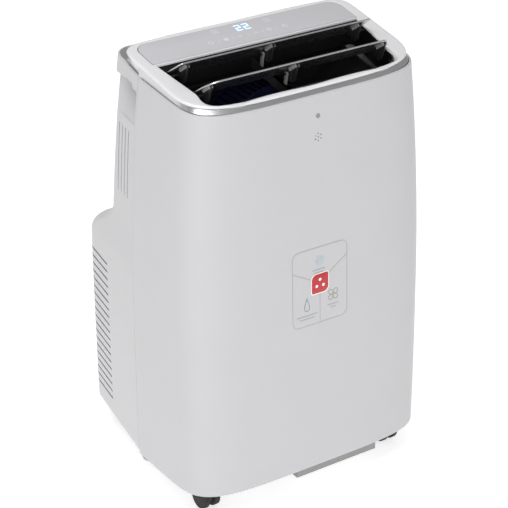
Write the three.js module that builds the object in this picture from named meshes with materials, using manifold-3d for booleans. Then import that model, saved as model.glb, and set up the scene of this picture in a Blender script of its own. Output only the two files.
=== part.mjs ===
// Portable air conditioner: a two-part white casing on four casters, with a sloping top that holds a
// control panel and an air outlet closed by two tilting louvers. The cold half (filter, evaporator
// and blower) sits above a drip tray, and the hot half (compressor, condenser and exhaust fan) below.
// Millimetres, +Z up, front towards -Y. The origin is on the floor under the middle of the casing.
import * as THREE from 'three';
import { mergeVertices } from 'three/addons/utils/BufferGeometryUtils.js';
import Module from 'manifold-3d';

const wasm = await Module();
wasm.setup();

// ---- Driving dimensions -------------------------------------------------------------------------
const bodyWidth = 437;          // widest place of the casing
const bodyDepth = 395;          // front of the lower edge to the back of the rear bulge
const bodyHeight = 704;         // floor to the rear edge of the top bezel
const groundClearance = 44;     // floor to the lower edge of the front shell
const wall = 3;                 // casing wall
const gap = 0.4;                // clearance between pieces that touch
const frontShellDepth = 184;    // front edge to the seam between the two shells
const crownDepth = 119;         // length of the front shell's rounded plan
const frontSquareness = 4.7;    // exponent of the front plan's superellipse
const frontLean = 20;           // how far the front face leans back at the top
const waistHeight = 303;        // height of the widest place
const topNarrowing = 18;        // how much each side closes in at the top
const upperBackDepth = 277;     // front edge to the upper back wall, at the rim
const upperBackLean = 0.065;    // run of the upper back wall per millimetre of drop
const seamStep = 5;             // how far the upper rear wall is set in at the seam
const rearTaper = 10;           // degrees that the rear side walls close in
const lipTaper = 8;             // the same for the lip above the hand grips
const bulgeRadius = 45;         // vertical corners of the rear bulge
const upperRadius = 28;         // vertical corners above the bulge
const bulgeTop = 350;           // top of the bulge's vertical walls
const shoulderRise = 85;        // height of the curved shoulder above them
const lipHeight = 28;           // straight rim band above the hand grips
const rimSlope = 0.108;         // rise of the casing's rim towards the back
const bezelTilt = 10.4;         // degrees that the top bezel slopes towards the front
const bezelThickness = 4;
const bezelSideInset = 2;       // bezel's sides inside the casing's widest line at the rim
const bezelFrontInset = 7;      // bezel's front edge behind the casing's front edge
const bandInset = 3;            // top of the silver band inside the bezel's edge
const outletFrontWidth = 324;
const outletRearWidth = 354;
const outletDepth = 126;        // front to back, measured on the slope
const outletFrontInset = 23;    // from the bezel's front edge
const ductDepth = 44;           // outlet duct, down from the bezel
const panelWidth = 360;
const panelDepth = 57;
const bladeThickness = 2.6;
const bladePivotDrop = 7.8;     // pivot below a closed blade's top face
const bladeOpen = 45.5;         // degrees from closed to the pose at rest
const wheelRadius = 20;         // caster wheels
const frontCasterSpan = 344;
const rearCasterSpan = 280;
const casterFrontInset = 51;    // casing front edge to the front casters' axis
const casterRearInset = 58;     // back of the bulge to the rear casters' axis
const casterRoom = 12;          // top of the wheels to the underside of the base pan
const panHeight = 2 * wheelRadius + casterRoom;
const trayHeight = 408;         // underside of the drip tray between the two halves
const blowerRadius = 93;
const blowerHeight = 540;       // centre of the blower wheel
const fanRadius = 78;
const fanHeight = 206;          // centre of the exhaust fan and of the exhaust port
const exhaustRadius = 75;       // inside of the exhaust collar
const shaftRadius = 4;
const slotPitch = 13.5;         // between the lower slots and between the grille's slots
const slotWidth = 3.6;
const lowerSlotCount = 19;
const lowestSlot = 37;          // lowest slot above the casing's lower edge
const sideSlotReach = 84;       // length of the side slots, which run round the rear corner
const backSlotLength = 38;
const upperSlotCount = 4;
const upperSlotPitch = 12.5;
const upperSlotLength = 108;

const frontY = -bodyDepth / 2;
const backY = bodyDepth / 2;
const seamY = frontY + frontShellDepth;
const crownY = frontY + crownDepth;
const upperBackY = frontY + upperBackDepth;
const bezelFrontY = frontY + frontLean + 0.4;
const bezelRearY = upperBackY - 41;
const tilt = THREE.MathUtils.degToRad(bezelTilt);
const bezelZ = (y) => bodyHeight - Math.tan(tilt) * (bezelRearY - y);
const rimZ = (y) => bezelZ(bezelFrontY) - 8 + rimSlope * (y - bezelFrontY);
const rimTopZ = rimZ(upperBackY);

// ---- Materials ----------------------------------------------------------------------------------
const material = (color, roughness, metalness) => new THREE.MeshStandardMaterial({ color, roughness, metalness });
const whiteShell = material(0xdcdcde, 0.4, 0);
const whiteGloss = material(0xe8e8ea, 0.25, 0);
const silverTrim = material(0x9a9a9c, 0.3, 0.8);
const greyPanel = material(0xbdbcbf, 0.35, 0);
const blackPlastic = material(0x0c0c0d, 0.6, 0);
const greyPlastic = material(0x8b8b8d, 0.6, 0);
const steel = material(0x2b2c2e, 0.45, 0.6);
const finMetal = material(0xb9bcc0, 0.4, 0.8);
const copper = material(0xb87333, 0.35, 0.9);
const bluePlastic = material(0x1d2a66, 0.5, 0);
const foamWhite = material(0xe2e2dc, 0.9, 0);
const zinc = material(0xb0b2b5, 0.45, 0.7);
const rubber = material(0x151515, 0.9, 0);
const boardGreen = material(0x1f5c3a, 0.6, 0);

// ---- Solids -------------------------------------------------------------------------------------
const model = new THREE.Group();

/** Add one named piece to the model. */
function place(name, shape, finish) {
  const mesh = new THREE.Mesh(shape.isBufferGeometry ? shape : geometryOf(shape), finish);
  mesh.name = name;
  model.add(mesh);
}

/** A closed geometry as a solid that can be joined and cut. */
function solid(geometry) {
  const bare = geometry.clone();
  bare.deleteAttribute('normal');
  bare.deleteAttribute('uv');
  const merged = mergeVertices(bare, 1e-4);
  return new wasm.Manifold(new wasm.Mesh({
    numProp: 3,
    vertProperties: new Float32Array(merged.attributes.position.array),
    triVerts: new Uint32Array(merged.index.array),
  }));
}

/** The geometry of a solid. */
function geometryOf(body) {
  const mesh = body.getMesh();
  const geometry = new THREE.BufferGeometry();
  geometry.setAttribute('position', new THREE.BufferAttribute(new Float32Array(mesh.vertProperties), 3));
  geometry.setIndex(new THREE.BufferAttribute(new Uint32Array(mesh.triVerts), 1));
  return geometry;
}

const join = (...bodies) => bodies.reduce((sum, body) => sum.add(body));
const cut = (body, ...tools) => tools.reduce((rest, tool) => rest.subtract(tool), body);

/** A box between two corners. */
function block(x0, y0, z0, x1, y1, z1) {
  const box = new THREE.BoxGeometry(x1 - x0, y1 - y0, z1 - z0);
  return solid(box.translate((x0 + x1) / 2, (y0 + y1) / 2, (z0 + z1) / 2));
}

/** A cylinder along 'x', 'y' or 'z' whose centre is given. */
function rod(axis, radius, length, x, y, z, sides = 20, radiusTop = radius) {
  const geometry = new THREE.CylinderGeometry(radiusTop, radius, length, sides);
  if (axis === 'x') geometry.rotateZ(-Math.PI / 2);
  if (axis === 'z') geometry.rotateX(Math.PI / 2);
  return solid(geometry.translate(x, y, z));
}

/** A polygon with its corners rounded; radii has one value for each corner. */
function rounded(corners, radii, steps = 5) {
  const outline = [];
  corners.forEach((corner, i) => {
    const here = new THREE.Vector2(...corner);
    const before = new THREE.Vector2(...corners.at(i - 1)).sub(here);
    const after = new THREE.Vector2(...corners[(i + 1) % corners.length]).sub(here);
    if (!radii[i]) {
      outline.push([here.x, here.y]);
      return;
    }
    const half = Math.acos(before.clone().normalize().dot(after.clone().normalize())) / 2;
    const run = Math.min(radii[i] / Math.tan(half), 0.49 * Math.min(before.length(), after.length()));
    const start = here.clone().addScaledVector(before.normalize(), run);
    const end = here.clone().addScaledVector(after.normalize(), run);
    const centre = here.clone().addScaledVector(before.add(after).normalize(), run / Math.cos(half));
    const from = start.sub(centre);
    const sweep = Math.PI - 2 * half;
    const turn = Math.sign(from.cross(end.clone().sub(centre)));
    for (let k = 0; k <= steps; k += 1) {
      const spoke = from.clone().rotateAround(new THREE.Vector2(), turn * sweep * k / steps).add(centre);
      outline.push([spoke.x, spoke.y]);
    }
  });
  return outline;
}

const shapeOf = (outline) => new THREE.Shape(outline.map(([x, y]) => new THREE.Vector2(x, y)));

/** A plan outline pulled up from z0 to z1. */
function pulled(outline, z0, z1) {
  const geometry = new THREE.ExtrudeGeometry(shapeOf(outline), { depth: z1 - z0, bevelEnabled: false });
  return solid(geometry.translate(0, 0, z0));
}

/** An outline in the X-Z plane pulled along Y from y0 to y1. */
function pulledY(outline, y0, y1) {
  const geometry = new THREE.ExtrudeGeometry(shapeOf(outline), { depth: y1 - y0, bevelEnabled: false });
  return solid(geometry.rotateX(Math.PI / 2).translate(0, y1, 0));
}

/** An outline in the Y-Z plane pulled along X from x0 to x1. */
function pulledX(outline, x0, x1) {
  const geometry = new THREE.ExtrudeGeometry(shapeOf(outline), { depth: x1 - x0, bevelEnabled: false });
  return solid(geometry.rotateX(Math.PI / 2).rotateZ(Math.PI / 2).translate(x0, 0, 0));
}

/** A solid skinned over rings of equal length, closed by a fan at each end. */
function loft(rings) {
  const count = rings[0].length;
  const centreOf = (ring) => [0, 1, 2].map((k) => ring.reduce((sum, point) => sum + point[k], 0) / count);
  const points = [...rings.flat(), centreOf(rings[0]), centreOf(rings.at(-1))];
  const bottom = rings.length * count;
  const index = [];
  for (let i = 0; i < count; i += 1) {
    const next = (i + 1) % count;
    for (let level = 0; level < rings.length - 1; level += 1) {
      const a = level * count + i;
      const b = level * count + next;
      index.push(a, b, b + count, a, b + count, a + count);
    }
    index.push(bottom, next, i);
    index.push(bottom + 1, (rings.length - 1) * count + i, (rings.length - 1) * count + next);
  }
  const geometry = new THREE.BufferGeometry();
  geometry.setAttribute('position', new THREE.Float32BufferAttribute(points.flat(), 3));
  geometry.setIndex(index);
  return solid(geometry);
}

/** A solid moved by a three.js matrix. */
const moved = (body, matrix) => solid(geometryOf(body).applyMatrix4(matrix));

const slopeMatrix = new THREE.Matrix4().makeRotationX(tilt).setPosition(0, 0, bezelZ(0));

/** A solid made on the level plane z = 0, laid on the sloping top. */
const onSlope = (body) => moved(body, slopeMatrix);

/** A polygon with equal sides round a centre. */
const circle = (radius, sides) => Array.from({ length: sides }, (_, i) => {
  const angle = 2 * Math.PI * (i + 0.5) / sides;
  return [radius * Math.cos(angle), radius * Math.sin(angle)];
});

/** A round tube of a given radius along a smooth curve through points. */
function pipe(points, radius, steps = 22) {
  const extrudePath = new THREE.CatmullRomCurve3(points.map((point) => new THREE.Vector3(...point)));
  return new THREE.ExtrudeGeometry(shapeOf(circle(radius, 8)), { steps, bevelEnabled: false, extrudePath });
}

/** A closed outline of two half superellipses that share their widest line at y = crownY. */
function oval(halfWidth, yFront, yBack, frontPower, backPower, steps = 44) {
  return Array.from({ length: steps }, (_, i) => {
    const angle = -Math.PI + 2 * Math.PI * i / steps;
    const power = 2 / (Math.sin(angle) < 0 ? frontPower : backPower);
    const depth = Math.sin(angle) < 0 ? crownY - yFront : yBack - crownY;
    const bend = (value) => Math.sign(value) * Math.abs(value) ** power;
    return [halfWidth * bend(Math.cos(angle)), crownY + depth * bend(Math.sin(angle))];
  });
}

const slopeU = (y) => y / Math.cos(tilt);

/** Give an outline its heights from a function of y. */
const atHeight = (outline, heightOf) => outline.map(([x, y]) => [x, y, heightOf(y)]);

// ---- Casing -------------------------------------------------------------------------------------

/** Half of the casing's width at a height. */
function halfWidthAt(z) {
  const above = Math.max(0, (z - waistHeight) / (rimZ(crownY) - waistHeight));
  const below = Math.max(0, (waistHeight - z) / (waistHeight - groundClearance));
  return bodyWidth / 2 - topNarrowing * above ** 2 - 1.6 * below ** 2;
}

/** Place of the front face at a height: it leans back more and more towards the top. */
function frontFaceAt(z) {
  return frontY + frontLean * ((z - groundClearance) / (rimZ(bezelFrontY) - groundClearance)) ** 1.6;
}

/** Plan of the front shell at a height, from the left seam round the front to the right seam. */
function frontPlan(z, inset, seam) {
  const steps = 24;
  const halfWidth = halfWidthAt(z) - inset;
  const depth = crownY - frontFaceAt(Math.max(z, groundClearance)) - inset;
  const power = 2 / frontSquareness;
  const bow = Array.from({ length: steps + 1 }, (_, i) => {
    const angle = Math.PI * i / steps;
    const side = -Math.cos(angle);
    const across = Math.sign(side) * Math.abs(side) ** power;
    return [halfWidth * across, crownY - depth * Math.sin(angle) ** power];
  });
  return [[-halfWidth, seam], ...bow, [halfWidth, seam]];
}

/** Share of the bulge in the rear plan: 1 up to the bulge's top, then an S-curve down to 0. */
function bulgeShare(z) {
  const t = Math.min(1, Math.max(0, (z - bulgeTop) / shoulderRise));
  return (1 + Math.cos(Math.PI * t)) / 2;
}

/** Plan of the rear shell at a height, from the right seam round the back to the left seam. */
function rearPlan(z, inset, seam) {
  const share = bulgeShare(z);
  const isLip = z > rimTopZ - lipHeight;
  const taper = THREE.MathUtils.degToRad(isLip ? lipTaper : rearTaper);
  const step = isLip ? 1 : 0.5 + (1 - share) * (seamStep - 0.5);
  const upperBack = upperBackY + upperBackLean * (rimTopZ - z);
  const back = upperBack + share * (backY - upperBack) - inset;
  const radius = upperRadius + share * (bulgeRadius - upperRadius) - inset;
  const atSeam = halfWidthAt(z) - step - inset / Math.cos(taper);
  const side = (y) => atSeam - Math.tan(taper) * (y - seamY);
  return rounded([[side(seam), seam], [side(back), back], [-side(back), back], [-side(seam), seam]],
    [0, radius, radius, 0], 4);
}

/** Plan of the whole casing at a height. */
const casingPlan = (z, inset) => [
  ...frontPlan(z, inset, seamY).slice(1, -1), ...rearPlan(z, inset, seamY)];

const frontLevels = [0.22, 0.42, 0.58, 0.73, 0.86, 0.95].map((share) => groundClearance
  + share * (rimZ(crownY) - groundClearance));
const rearLevels = [0, 0.18, 0.36, 0.5, 0.64, 0.82, 1].map((share) => bulgeTop + share * shoulderRise);

function makeFrontShell() {
  const outer = loft([
    ...[groundClearance, ...frontLevels].map((z) => atHeight(frontPlan(z, 0, seamY), () => z)),
    atHeight(frontPlan(rimZ(crownY), 0, seamY), rimZ)]);
  const inner = loft([
    ...[groundClearance - 5, ...frontLevels].map((z) => atHeight(frontPlan(z, wall, seamY + 9), () => z)),
    atHeight(frontPlan(rimZ(crownY), wall, seamY + 9), (y) => rimZ(y) + 6)]);
  const holes = [[0, 0], ...circle(5.4, 6)].map(([x, z]) => rod('y', 1.1, 14,
    x, frontFaceAt(receiverHeight) + 2, receiverHeight + z, 6));
  return cut(outer, inner, ...holes);
}
const receiverHeight = bodyHeight - 112;

const gripBottom = rimTopZ - 91.5;

/** A hand grip: the hollow slopes in from its lower edge and ends under the rim's lip. */
function gripHollow(side, inset) {
  const top = rimTopZ - lipHeight - 4 + inset;
  const bottom = gripBottom - inset;
  const outside = side * (bodyWidth / 2 + 15);
  const mouth = side * (halfWidthAt(gripBottom) - 6 + inset * 0.3);
  const deep = side * (halfWidthAt(gripBottom) - 34 - inset);
  const outline = [[outside, bottom], [mouth, bottom], [deep, top - 18], [deep, top], [outside, top]];
  return pulledY(side > 0 ? outline : outline.reverse(), seamY + 9 - inset, seamY + 62 + inset);
}

function makeRearShell() {
  const seam = seamY + gap;
  const levels = [...rearLevels, (rearLevels.at(-1) + rimTopZ - lipHeight) / 2, rimTopZ - lipHeight - 8,
    rimTopZ - lipHeight + 1];
  const outer = loft([
    ...[groundClearance + 6, ...levels].map((z) => atHeight(rearPlan(z, 0, seam), () => z)),
    atHeight(rearPlan(rimTopZ, 0, seam), rimZ)]);
  const inner = loft([
    ...[groundClearance - 5, ...levels].map((z) => atHeight(rearPlan(z, wall, seam - 9), () => z)),
    atHeight(rearPlan(rimTopZ, wall, seam - 9), (y) => rimZ(y) + 6)]);
  const pockets = [1, -1].map((side) => gripHollow(side, wall).intersect(outer));
  let shell = join(cut(outer, inner), ...pockets);
  shell = cut(shell, gripHollow(1, 0), gripHollow(-1, 0));
  shell = cut(shell, rod('y', exhaustRadius + wall + 2 * gap, 30, 0, backY, fanHeight, 40));
  return cut(shell, grilleWindow(gap), ...backBores(), ...lowerSlots(), ...upperSlots());
}

// Holes in the rear shell's back and sides, each as x and z, or as a screw's centre and direction.
const capRadius = 13;
const plugRadius = 7;
const glandRadius = 8;
const screwRadius = 3;
const drainPlaces = [[-50, panHeight + 34], [-50, bulgeTop - 28]];
const glandPlace = [56, panHeight + 34];
const screwZ = panHeight + 7;
const backScrewX = exhaustRadius + 15;
const sideScrewY = seamY + 110;
const sideScrewX = halfWidthAt(screwZ) - 6 - Math.tan(Math.PI * rearTaper / 180) * (sideScrewY - seamY);
const screwPlaces = [[-sideScrewX, sideScrewY, screwZ, 'x'], [sideScrewX, sideScrewY, screwZ, 'x'],
  [-backScrewX, backY - 5.5, screwZ, 'y'], [backScrewX, backY - 5.5, screwZ, 'y']];

/** Bores for the drain caps, the gland and the screws, with clearance. */
const backBores = () => [
  ...drainPlaces.map(([x, z]) => rod('y', capRadius + gap, 20, x, backY, z, 24)),
  rod('y', glandRadius + gap, 20, glandPlace[0], backY, glandPlace[1], 20),
  ...screwPlaces.map(([x, y, z, axis]) => rod(axis, screwRadius + gap, 22, x, y, z, 12))];

const sideSlotInner = bodyWidth / 2 - 62;
const sideSlotRear = backY - 14;
const backSlotInner = exhaustRadius + 19;

/** Horizontal air slots in the bulge: round both rear corners, and on both sides of the back. */
function lowerSlots() {
  const tools = [];
  for (let i = 0; i < lowerSlotCount; i += 1) {
    const z = groundClearance + lowestSlot + i * slotPitch;
    const half = slotWidth / 2;
    for (const side of [1, -1]) {
      const sides = [side * sideSlotInner, side * bodyWidth].sort((a, b) => a - b);
      tools.push(block(sides[0], sideSlotRear - sideSlotReach, z - half, sides[1], sideSlotRear, z + half));
      const backs = [side * backSlotInner, side * (backSlotInner + backSlotLength)].sort((a, b) => a - b);
      tools.push(block(backs[0], backY - 10, z - half, backs[1], backY + 5, z + half));
    }
  }
  return tools;
}

const upperSlotLow = bulgeTop + shoulderRise + 35;

/** Upright air slots in the upper side walls. */
function upperSlots() {
  const tools = [];
  for (let i = 0; i < upperSlotCount; i += 1) {
    const y = seamY + 33 + i * upperSlotPitch;
    for (const [x0, x1] of [[bodyWidth / 3, bodyWidth], [-bodyWidth, -bodyWidth / 3]]) {
      tools.push(block(x0, y - slotWidth / 2, upperSlotLow, x1, y + slotWidth / 2, upperSlotLow + upperSlotLength));
    }
  }
  return tools;
}

// The upper back wall is a leaning plane, and the grille and filter lie in it. Their frame has x across,
// y up the wall and z into it, with its origin at the middle of the window.
const grilleWidth = 268;
const grilleHeight = 146;
const grilleMiddle = bulgeTop + shoulderRise + 92;
const lean = Math.atan(upperBackLean);
const backMatrix = new THREE.Matrix4().makeRotationX(Math.PI / 2 + lean)
  .setPosition(0, upperBackY + upperBackLean * (rimTopZ - grilleMiddle), grilleMiddle);
const onBack = (body) => moved(body, backMatrix);
const panel = (width, height, z0, z1) => pulled(rounded([[-width / 2, -height / 2], [width / 2, -height / 2],
  [width / 2, height / 2], [-width / 2, height / 2]], [8, 8, 8, 8], 3), z0, z1);

/** The window in the upper back wall that the grille closes. */
const grilleWindow = (clearance) => onBack(
  panel(grilleWidth + 2 * clearance, grilleHeight + 2 * clearance, -12, 12));

function makeGrille() {
  const slots = [];
  const count = Math.floor((grilleWidth - 24) / slotPitch);
  const reach = grilleHeight / 2 - 11;
  for (let i = 0; i < count; i += 1) {
    const x = (i - (count - 1) / 2) * slotPitch;
    slots.push(block(x - slotWidth / 2, -reach, -9, x + slotWidth / 2, reach, 9));
  }
  return onBack(cut(panel(grilleWidth, grilleHeight, 0, wall), ...slots));
}

function makeFilter() {
  const frame = panel(grilleWidth - 8, grilleHeight - 8, wall + gap, wall + gap + 5);
  const pocket = panel(grilleWidth - 24, grilleHeight - 24, -5, wall + gap + 3.4);
  return onBack(cut(frame, pocket));
}

place('front_shell', makeFrontShell(), whiteShell);
place('rear_shell', makeRearShell(), whiteShell);
place('upper_grille', makeGrille(), whiteShell);
place('air_filter', makeFilter(), greyPlastic);

// ---- Top ----------------------------------------------------------------------------------------

/** The bezel's outline, drawn in by an inset. */
const bezelOutline = (inset) => oval(halfWidthAt(rimZ(crownY)) - bezelSideInset - inset,
  bezelFrontY + bezelFrontInset + inset,
  bezelRearY - inset, bezelFrontPower, bezelRearPower);
const bezelFrontPower = 4.1;
const bezelRearPower = 10.9;

/** The silver band between the casing's rim and the bezel: upright inside the rim, then out or in to the bezel. */
function makeTrimBand() {
  const rimPlan = (inset) => [...frontPlan(rimZ(crownY), wall + gap + inset, seamY).slice(1, -1),
    ...rearPlan(rimTopZ, wall + gap + inset, seamY)];
  const topPlan = (inset) => rimPlan(inset).map(([x, y]) => {
    const isFront = y < crownY;
    const power = isFront ? bezelFrontPower : bezelRearPower;
    const half = halfWidthAt(rimZ(crownY)) - bezelSideInset - bandInset - inset;
    const depth = (isFront ? crownY - bezelFrontY - bezelFrontInset : bezelRearY - crownY) - bandInset - inset;
    const away = Math.abs(y - crownY) * depth / (isFront ? crownY - bezelFrontY : upperBackY - crownY);
    const scale = ((Math.abs(x) / half) ** power + (away / depth) ** power) ** (-1 / power);
    return [x * scale, crownY + Math.sign(y - crownY) * away * scale];
  });
  const underBezel = (y) => bezelZ(y) - bezelThickness - gap;
  const skin = 2.5;
  const outer = loft([atHeight(rimPlan(0), (y) => rimZ(y) - 7), atHeight(rimPlan(0), (y) => rimZ(y) + 0.3),
    atHeight(topPlan(0), underBezel)]);
  const inner = loft([atHeight(rimPlan(skin), (y) => rimZ(y) - 12),
    atHeight(rimPlan(skin), (y) => rimZ(y) + 0.3 - skin), atHeight(topPlan(skin), (y) => underBezel(y) - skin),
    atHeight(topPlan(skin), (y) => underBezel(y) + 6)]);
  return cut(outer, inner);
}

// The outlet and the blades are drawn on the slope: x across and u up the slope from y = 0.
const outletFront = slopeU(bezelFrontY) + outletFrontInset;
const outletRear = outletFront + outletDepth;
const outletHalfWidth = (u) => (outletFrontWidth
  + (outletRearWidth - outletFrontWidth) * (u - outletFront) / outletDepth) / 2;

/** The outlet's outline on the slope, grown by a margin. */
function outletOutline(margin) {
  const front = outletFront - margin;
  const rear = outletRear + margin;
  const halfFront = outletHalfWidth(outletFront) + margin;
  const halfRear = outletHalfWidth(outletRear) + margin;
  return rounded([[-halfFront, front], [halfFront, front], [halfRear, rear], [-halfRear, rear]],
    [28 + margin, 28 + margin, 8 + margin, 8 + margin]);
}

const panelFront = outletRear + 4;
const panelOutline = (margin) => rounded([
  [-panelWidth / 2 - margin, panelFront - margin], [panelWidth / 2 + margin, panelFront - margin],
  [panelWidth / 2 + margin, panelFront + panelDepth + margin],
  [-panelWidth / 2 - margin, panelFront + panelDepth + margin]],
[3 + margin, 3 + margin, 20 + margin, 20 + margin]);

function makeBezel() {
  const outline = bezelOutline(0);
  const plate = loft([atHeight(outline, (y) => bezelZ(y) - bezelThickness), atHeight(outline, bezelZ)]);
  const opening = onSlope(pulled(outletOutline(0), -60, 20));
  return cut(plate, opening, onSlope(pulled(panelOutline(gap), -panelThickness - gap, 20)));
}
const panelThickness = 1.6;

place('trim_band', makeTrimBand(), silverTrim);
place('top_bezel', makeBezel(), whiteGloss);
place('control_panel', onSlope(pulled(panelOutline(0), -panelThickness, 0)), greyPanel);

// ---- Outlet -------------------------------------------------------------------------------------
const bladeSideGap = 3;
const bladeGap = 1.4;           // between the two closed blades
const bladeChord = (outletDepth - 2 * 2 - bladeGap) / 2;
const pivotFromFront = 0.648 * bladeChord;
const pinRadius = 2;
const pinClearance = 0.3;
const gussetThickness = 3;
const gussetDrop = 22;
const endGussetX = outletFrontWidth / 2 - 10;
const postThickness = 3;
const ribX = -9;
const centreGussetX = ribX + postThickness / 2 + 1 + gussetThickness / 2;
const ductWall = 2.4;

/** Places of a blade's front edge and pivot on the slope, when it is closed. */
const bladeFront = { rear: outletRear - 2 - bladeChord, front: outletRear - 2 - 2 * bladeChord - bladeGap };
const pivotU = { rear: bladeFront.rear + pivotFromFront, front: bladeFront.front + pivotFromFront };

/** The duct under the bezel, down to the blower's housing, with bores for the blades' pins. */
function makeDuct() {
  const top = -bezelThickness - 2 * gap;
  const sleeve = pulled(outletOutline(ductWall), -ductDepth, top);
  const bores = Object.values(pivotU).map((u) => rod('x', pinRadius + pinClearance, bodyWidth,
    0, u, -bladePivotDrop, 16));
  return onSlope(cut(sleeve, pulled(outletOutline(0), -ductDepth - 5, top + 5), ...bores));
}

/** The rib across the middle of the duct, with a post under each blade's middle pin. */
function makeRib() {
  const front = outletFront + gap + 0.3;
  const rear = outletRear - gap - 0.3;
  const shoulder = -bladePivotDrop - 16;
  const post = 3.4;
  const posts = Object.values(pivotU).flatMap((u) => [[u + post, shoulder], [u + post, -bladePivotDrop + post],
    [u - post, -bladePivotDrop + post], [u - post, shoulder]]);
  const outline = [[front, -ductDepth + 2], [rear, -ductDepth + 2], [rear, shoulder], ...posts, [front, shoulder]];
  const bores = Object.values(pivotU).map((u) => rod('x', pinRadius + pinClearance, 30,
    ribX, u, -bladePivotDrop, 16));
  return onSlope(cut(pulledX(outline, ribX - postThickness / 2, ribX + postThickness / 2), ...bores));
}

/** A louver blade with its three gussets and pivot pins, turned from closed to its pose at rest. */
function makeBlade(which) {
  const front = bladeFront[which];
  const rear = front + bladeChord;
  const corner = which === 'front' ? 25 : 4;
  const halfFront = outletHalfWidth(front) - bladeSideGap;
  const halfRear = outletHalfWidth(rear) - bladeSideGap;
  const plate = pulled(rounded([[-halfFront, front], [halfFront, front], [halfRear, rear], [-halfRear, rear]],
    [corner, corner, 4, 4]), -bladeThickness, 0);
  const gusset = [[front + 5, -1], [front + 29, -gussetDrop], [front + 40, -gussetDrop], [front + 50, -1]];
  const gussets = [-endGussetX, centreGussetX, endGussetX].map((x) => pulledX(gusset,
    x - gussetThickness / 2, x + gussetThickness / 2));
  const pin = (x0, x1) => rod('x', pinRadius, x1 - x0, (x0 + x1) / 2, pivotU[which], -bladePivotDrop, 12);
  const reach = outletHalfWidth(pivotU[which]) + ductWall + 1.5;
  const blade = join(plate, ...gussets, pin(endGussetX, reach), pin(-reach, -endGussetX),
    pin(ribX - postThickness / 2 - 1, centreGussetX));
  const turn = new THREE.Matrix4().makeTranslation(0, pivotU[which], -bladePivotDrop)
    .multiply(new THREE.Matrix4().makeRotationX(-THREE.MathUtils.degToRad(bladeOpen)))
    .multiply(new THREE.Matrix4().makeTranslation(0, -pivotU[which], bladePivotDrop));
  return onSlope(moved(blade, turn));
}

place('outlet_duct', makeDuct(), blackPlastic);
place('louver_rib', makeRib(), blackPlastic);
place('louver_rear', makeBlade('rear'), silverTrim);
place('louver_front', makeBlade('front'), silverTrim);
const motorLength = 7;
place('louver_motor', onSlope(rod('x', 6.5, motorLength,
  outletHalfWidth(pivotU.rear) + ductWall + 2.5 + motorLength / 2, pivotU.rear, -bladePivotDrop - 3, 20)), zinc);
place('control_board', onSlope(block(-150, panelFront + 6, -bezelThickness - 9, 150,
  panelFront + panelDepth - 14, -bezelThickness - 7.4)), boardGreen);
place('receiver_board', block(-16, frontFaceAt(receiverHeight) + wall + 3, receiverHeight - 10,
  16, frontFaceAt(receiverHeight) + wall + 4.6, receiverHeight + 10), boardGreen);

// ---- Cold half ----------------------------------------------------------------------------------
const blowerFaceY = crownY + 20;
const blowerDepth = 62;
const blowerMotorLength = 56;
const scrollFrontY = slopeFrontY(outletFront);
const scrollRearY = blowerFaceY + blowerDepth + 8;
const housingWall = 2.5;
const shelfZ = bodyHeight - ductDepth - 20;

/** Depth in the model of a place u on the slope. */
function slopeFrontY(u) {
  return u * Math.cos(tilt) + ductDepth * Math.sin(tilt);
}

/** The blower's housing: a scroll in the X-Z plane whose mouth widens up to the duct. */
function makeBlowerScroll() {
  const profile = (inset, top) => {
    const mouth = outletFrontWidth / 2 - inset;
    const radius = blowerRadius + 22 - inset;
    return rounded([[mouth, top], [-mouth, top], [-mouth, blowerHeight + 84], [-radius, blowerHeight + 48],
      [-radius, blowerHeight - radius], [radius, blowerHeight - radius], [radius, blowerHeight + 48],
      [mouth, blowerHeight + 84]], [0, 0, 18, 18, radius * 0.95, radius * 0.95, 18, 18]);
  };
  const outer = pulledY(profile(0, bodyHeight), scrollFrontY, scrollRearY);
  const inner = pulledY(profile(housingWall, bodyHeight + 20), scrollFrontY + housingWall, scrollRearY - housingWall);
  const inlet = rod('y', blowerRadius - 10, 20, 0, scrollRearY, blowerHeight, 32);
  const above = onSlope(block(-bodyWidth, -bodyDepth, -ductDepth - gap, bodyWidth, bodyDepth, 200));
  const shelf = block(1 - outletFrontWidth / 2, slopeFrontY(outletRear), shelfZ, outletFrontWidth / 2 - 1,
    scrollRearY - 1, shelfZ + housingWall);
  return join(cut(outer, inner, inlet, above), shelf);
}

/** A centrifugal wheel along X, in place at the origin: a back plate, blades and a front ring. */
function makeWheel(radius, depth, bladeCount) {
  const plateAt = depth / 2 - 1.2;
  const bladeHeight = 0.15 * radius;
  const plate = rod('x', radius, 2.4, plateAt, 0, 0, 32);
  const ring = cut(rod('x', radius, 2.4, 1.2 - depth / 2, 0, 0, 32),
    rod('x', radius - bladeHeight, 2 * depth, 0, 0, 0, 32));
  const blades = [];
  for (let i = 0; i < bladeCount; i += 1) {
    const blade = new THREE.BoxGeometry(depth - 1.2, bladeHeight - 2, 1.6);
    blade.rotateX(0.6).translate(0, radius - bladeHeight / 2 - 0.6, 0).rotateX(2 * Math.PI * i / bladeCount);
    blades.push(solid(blade));
  }
  const hub = rod('x', 0.16 * radius, 16, plateAt, 0, 0, 20);
  return join(plate, ring, hub, ...blades);
}

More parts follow.
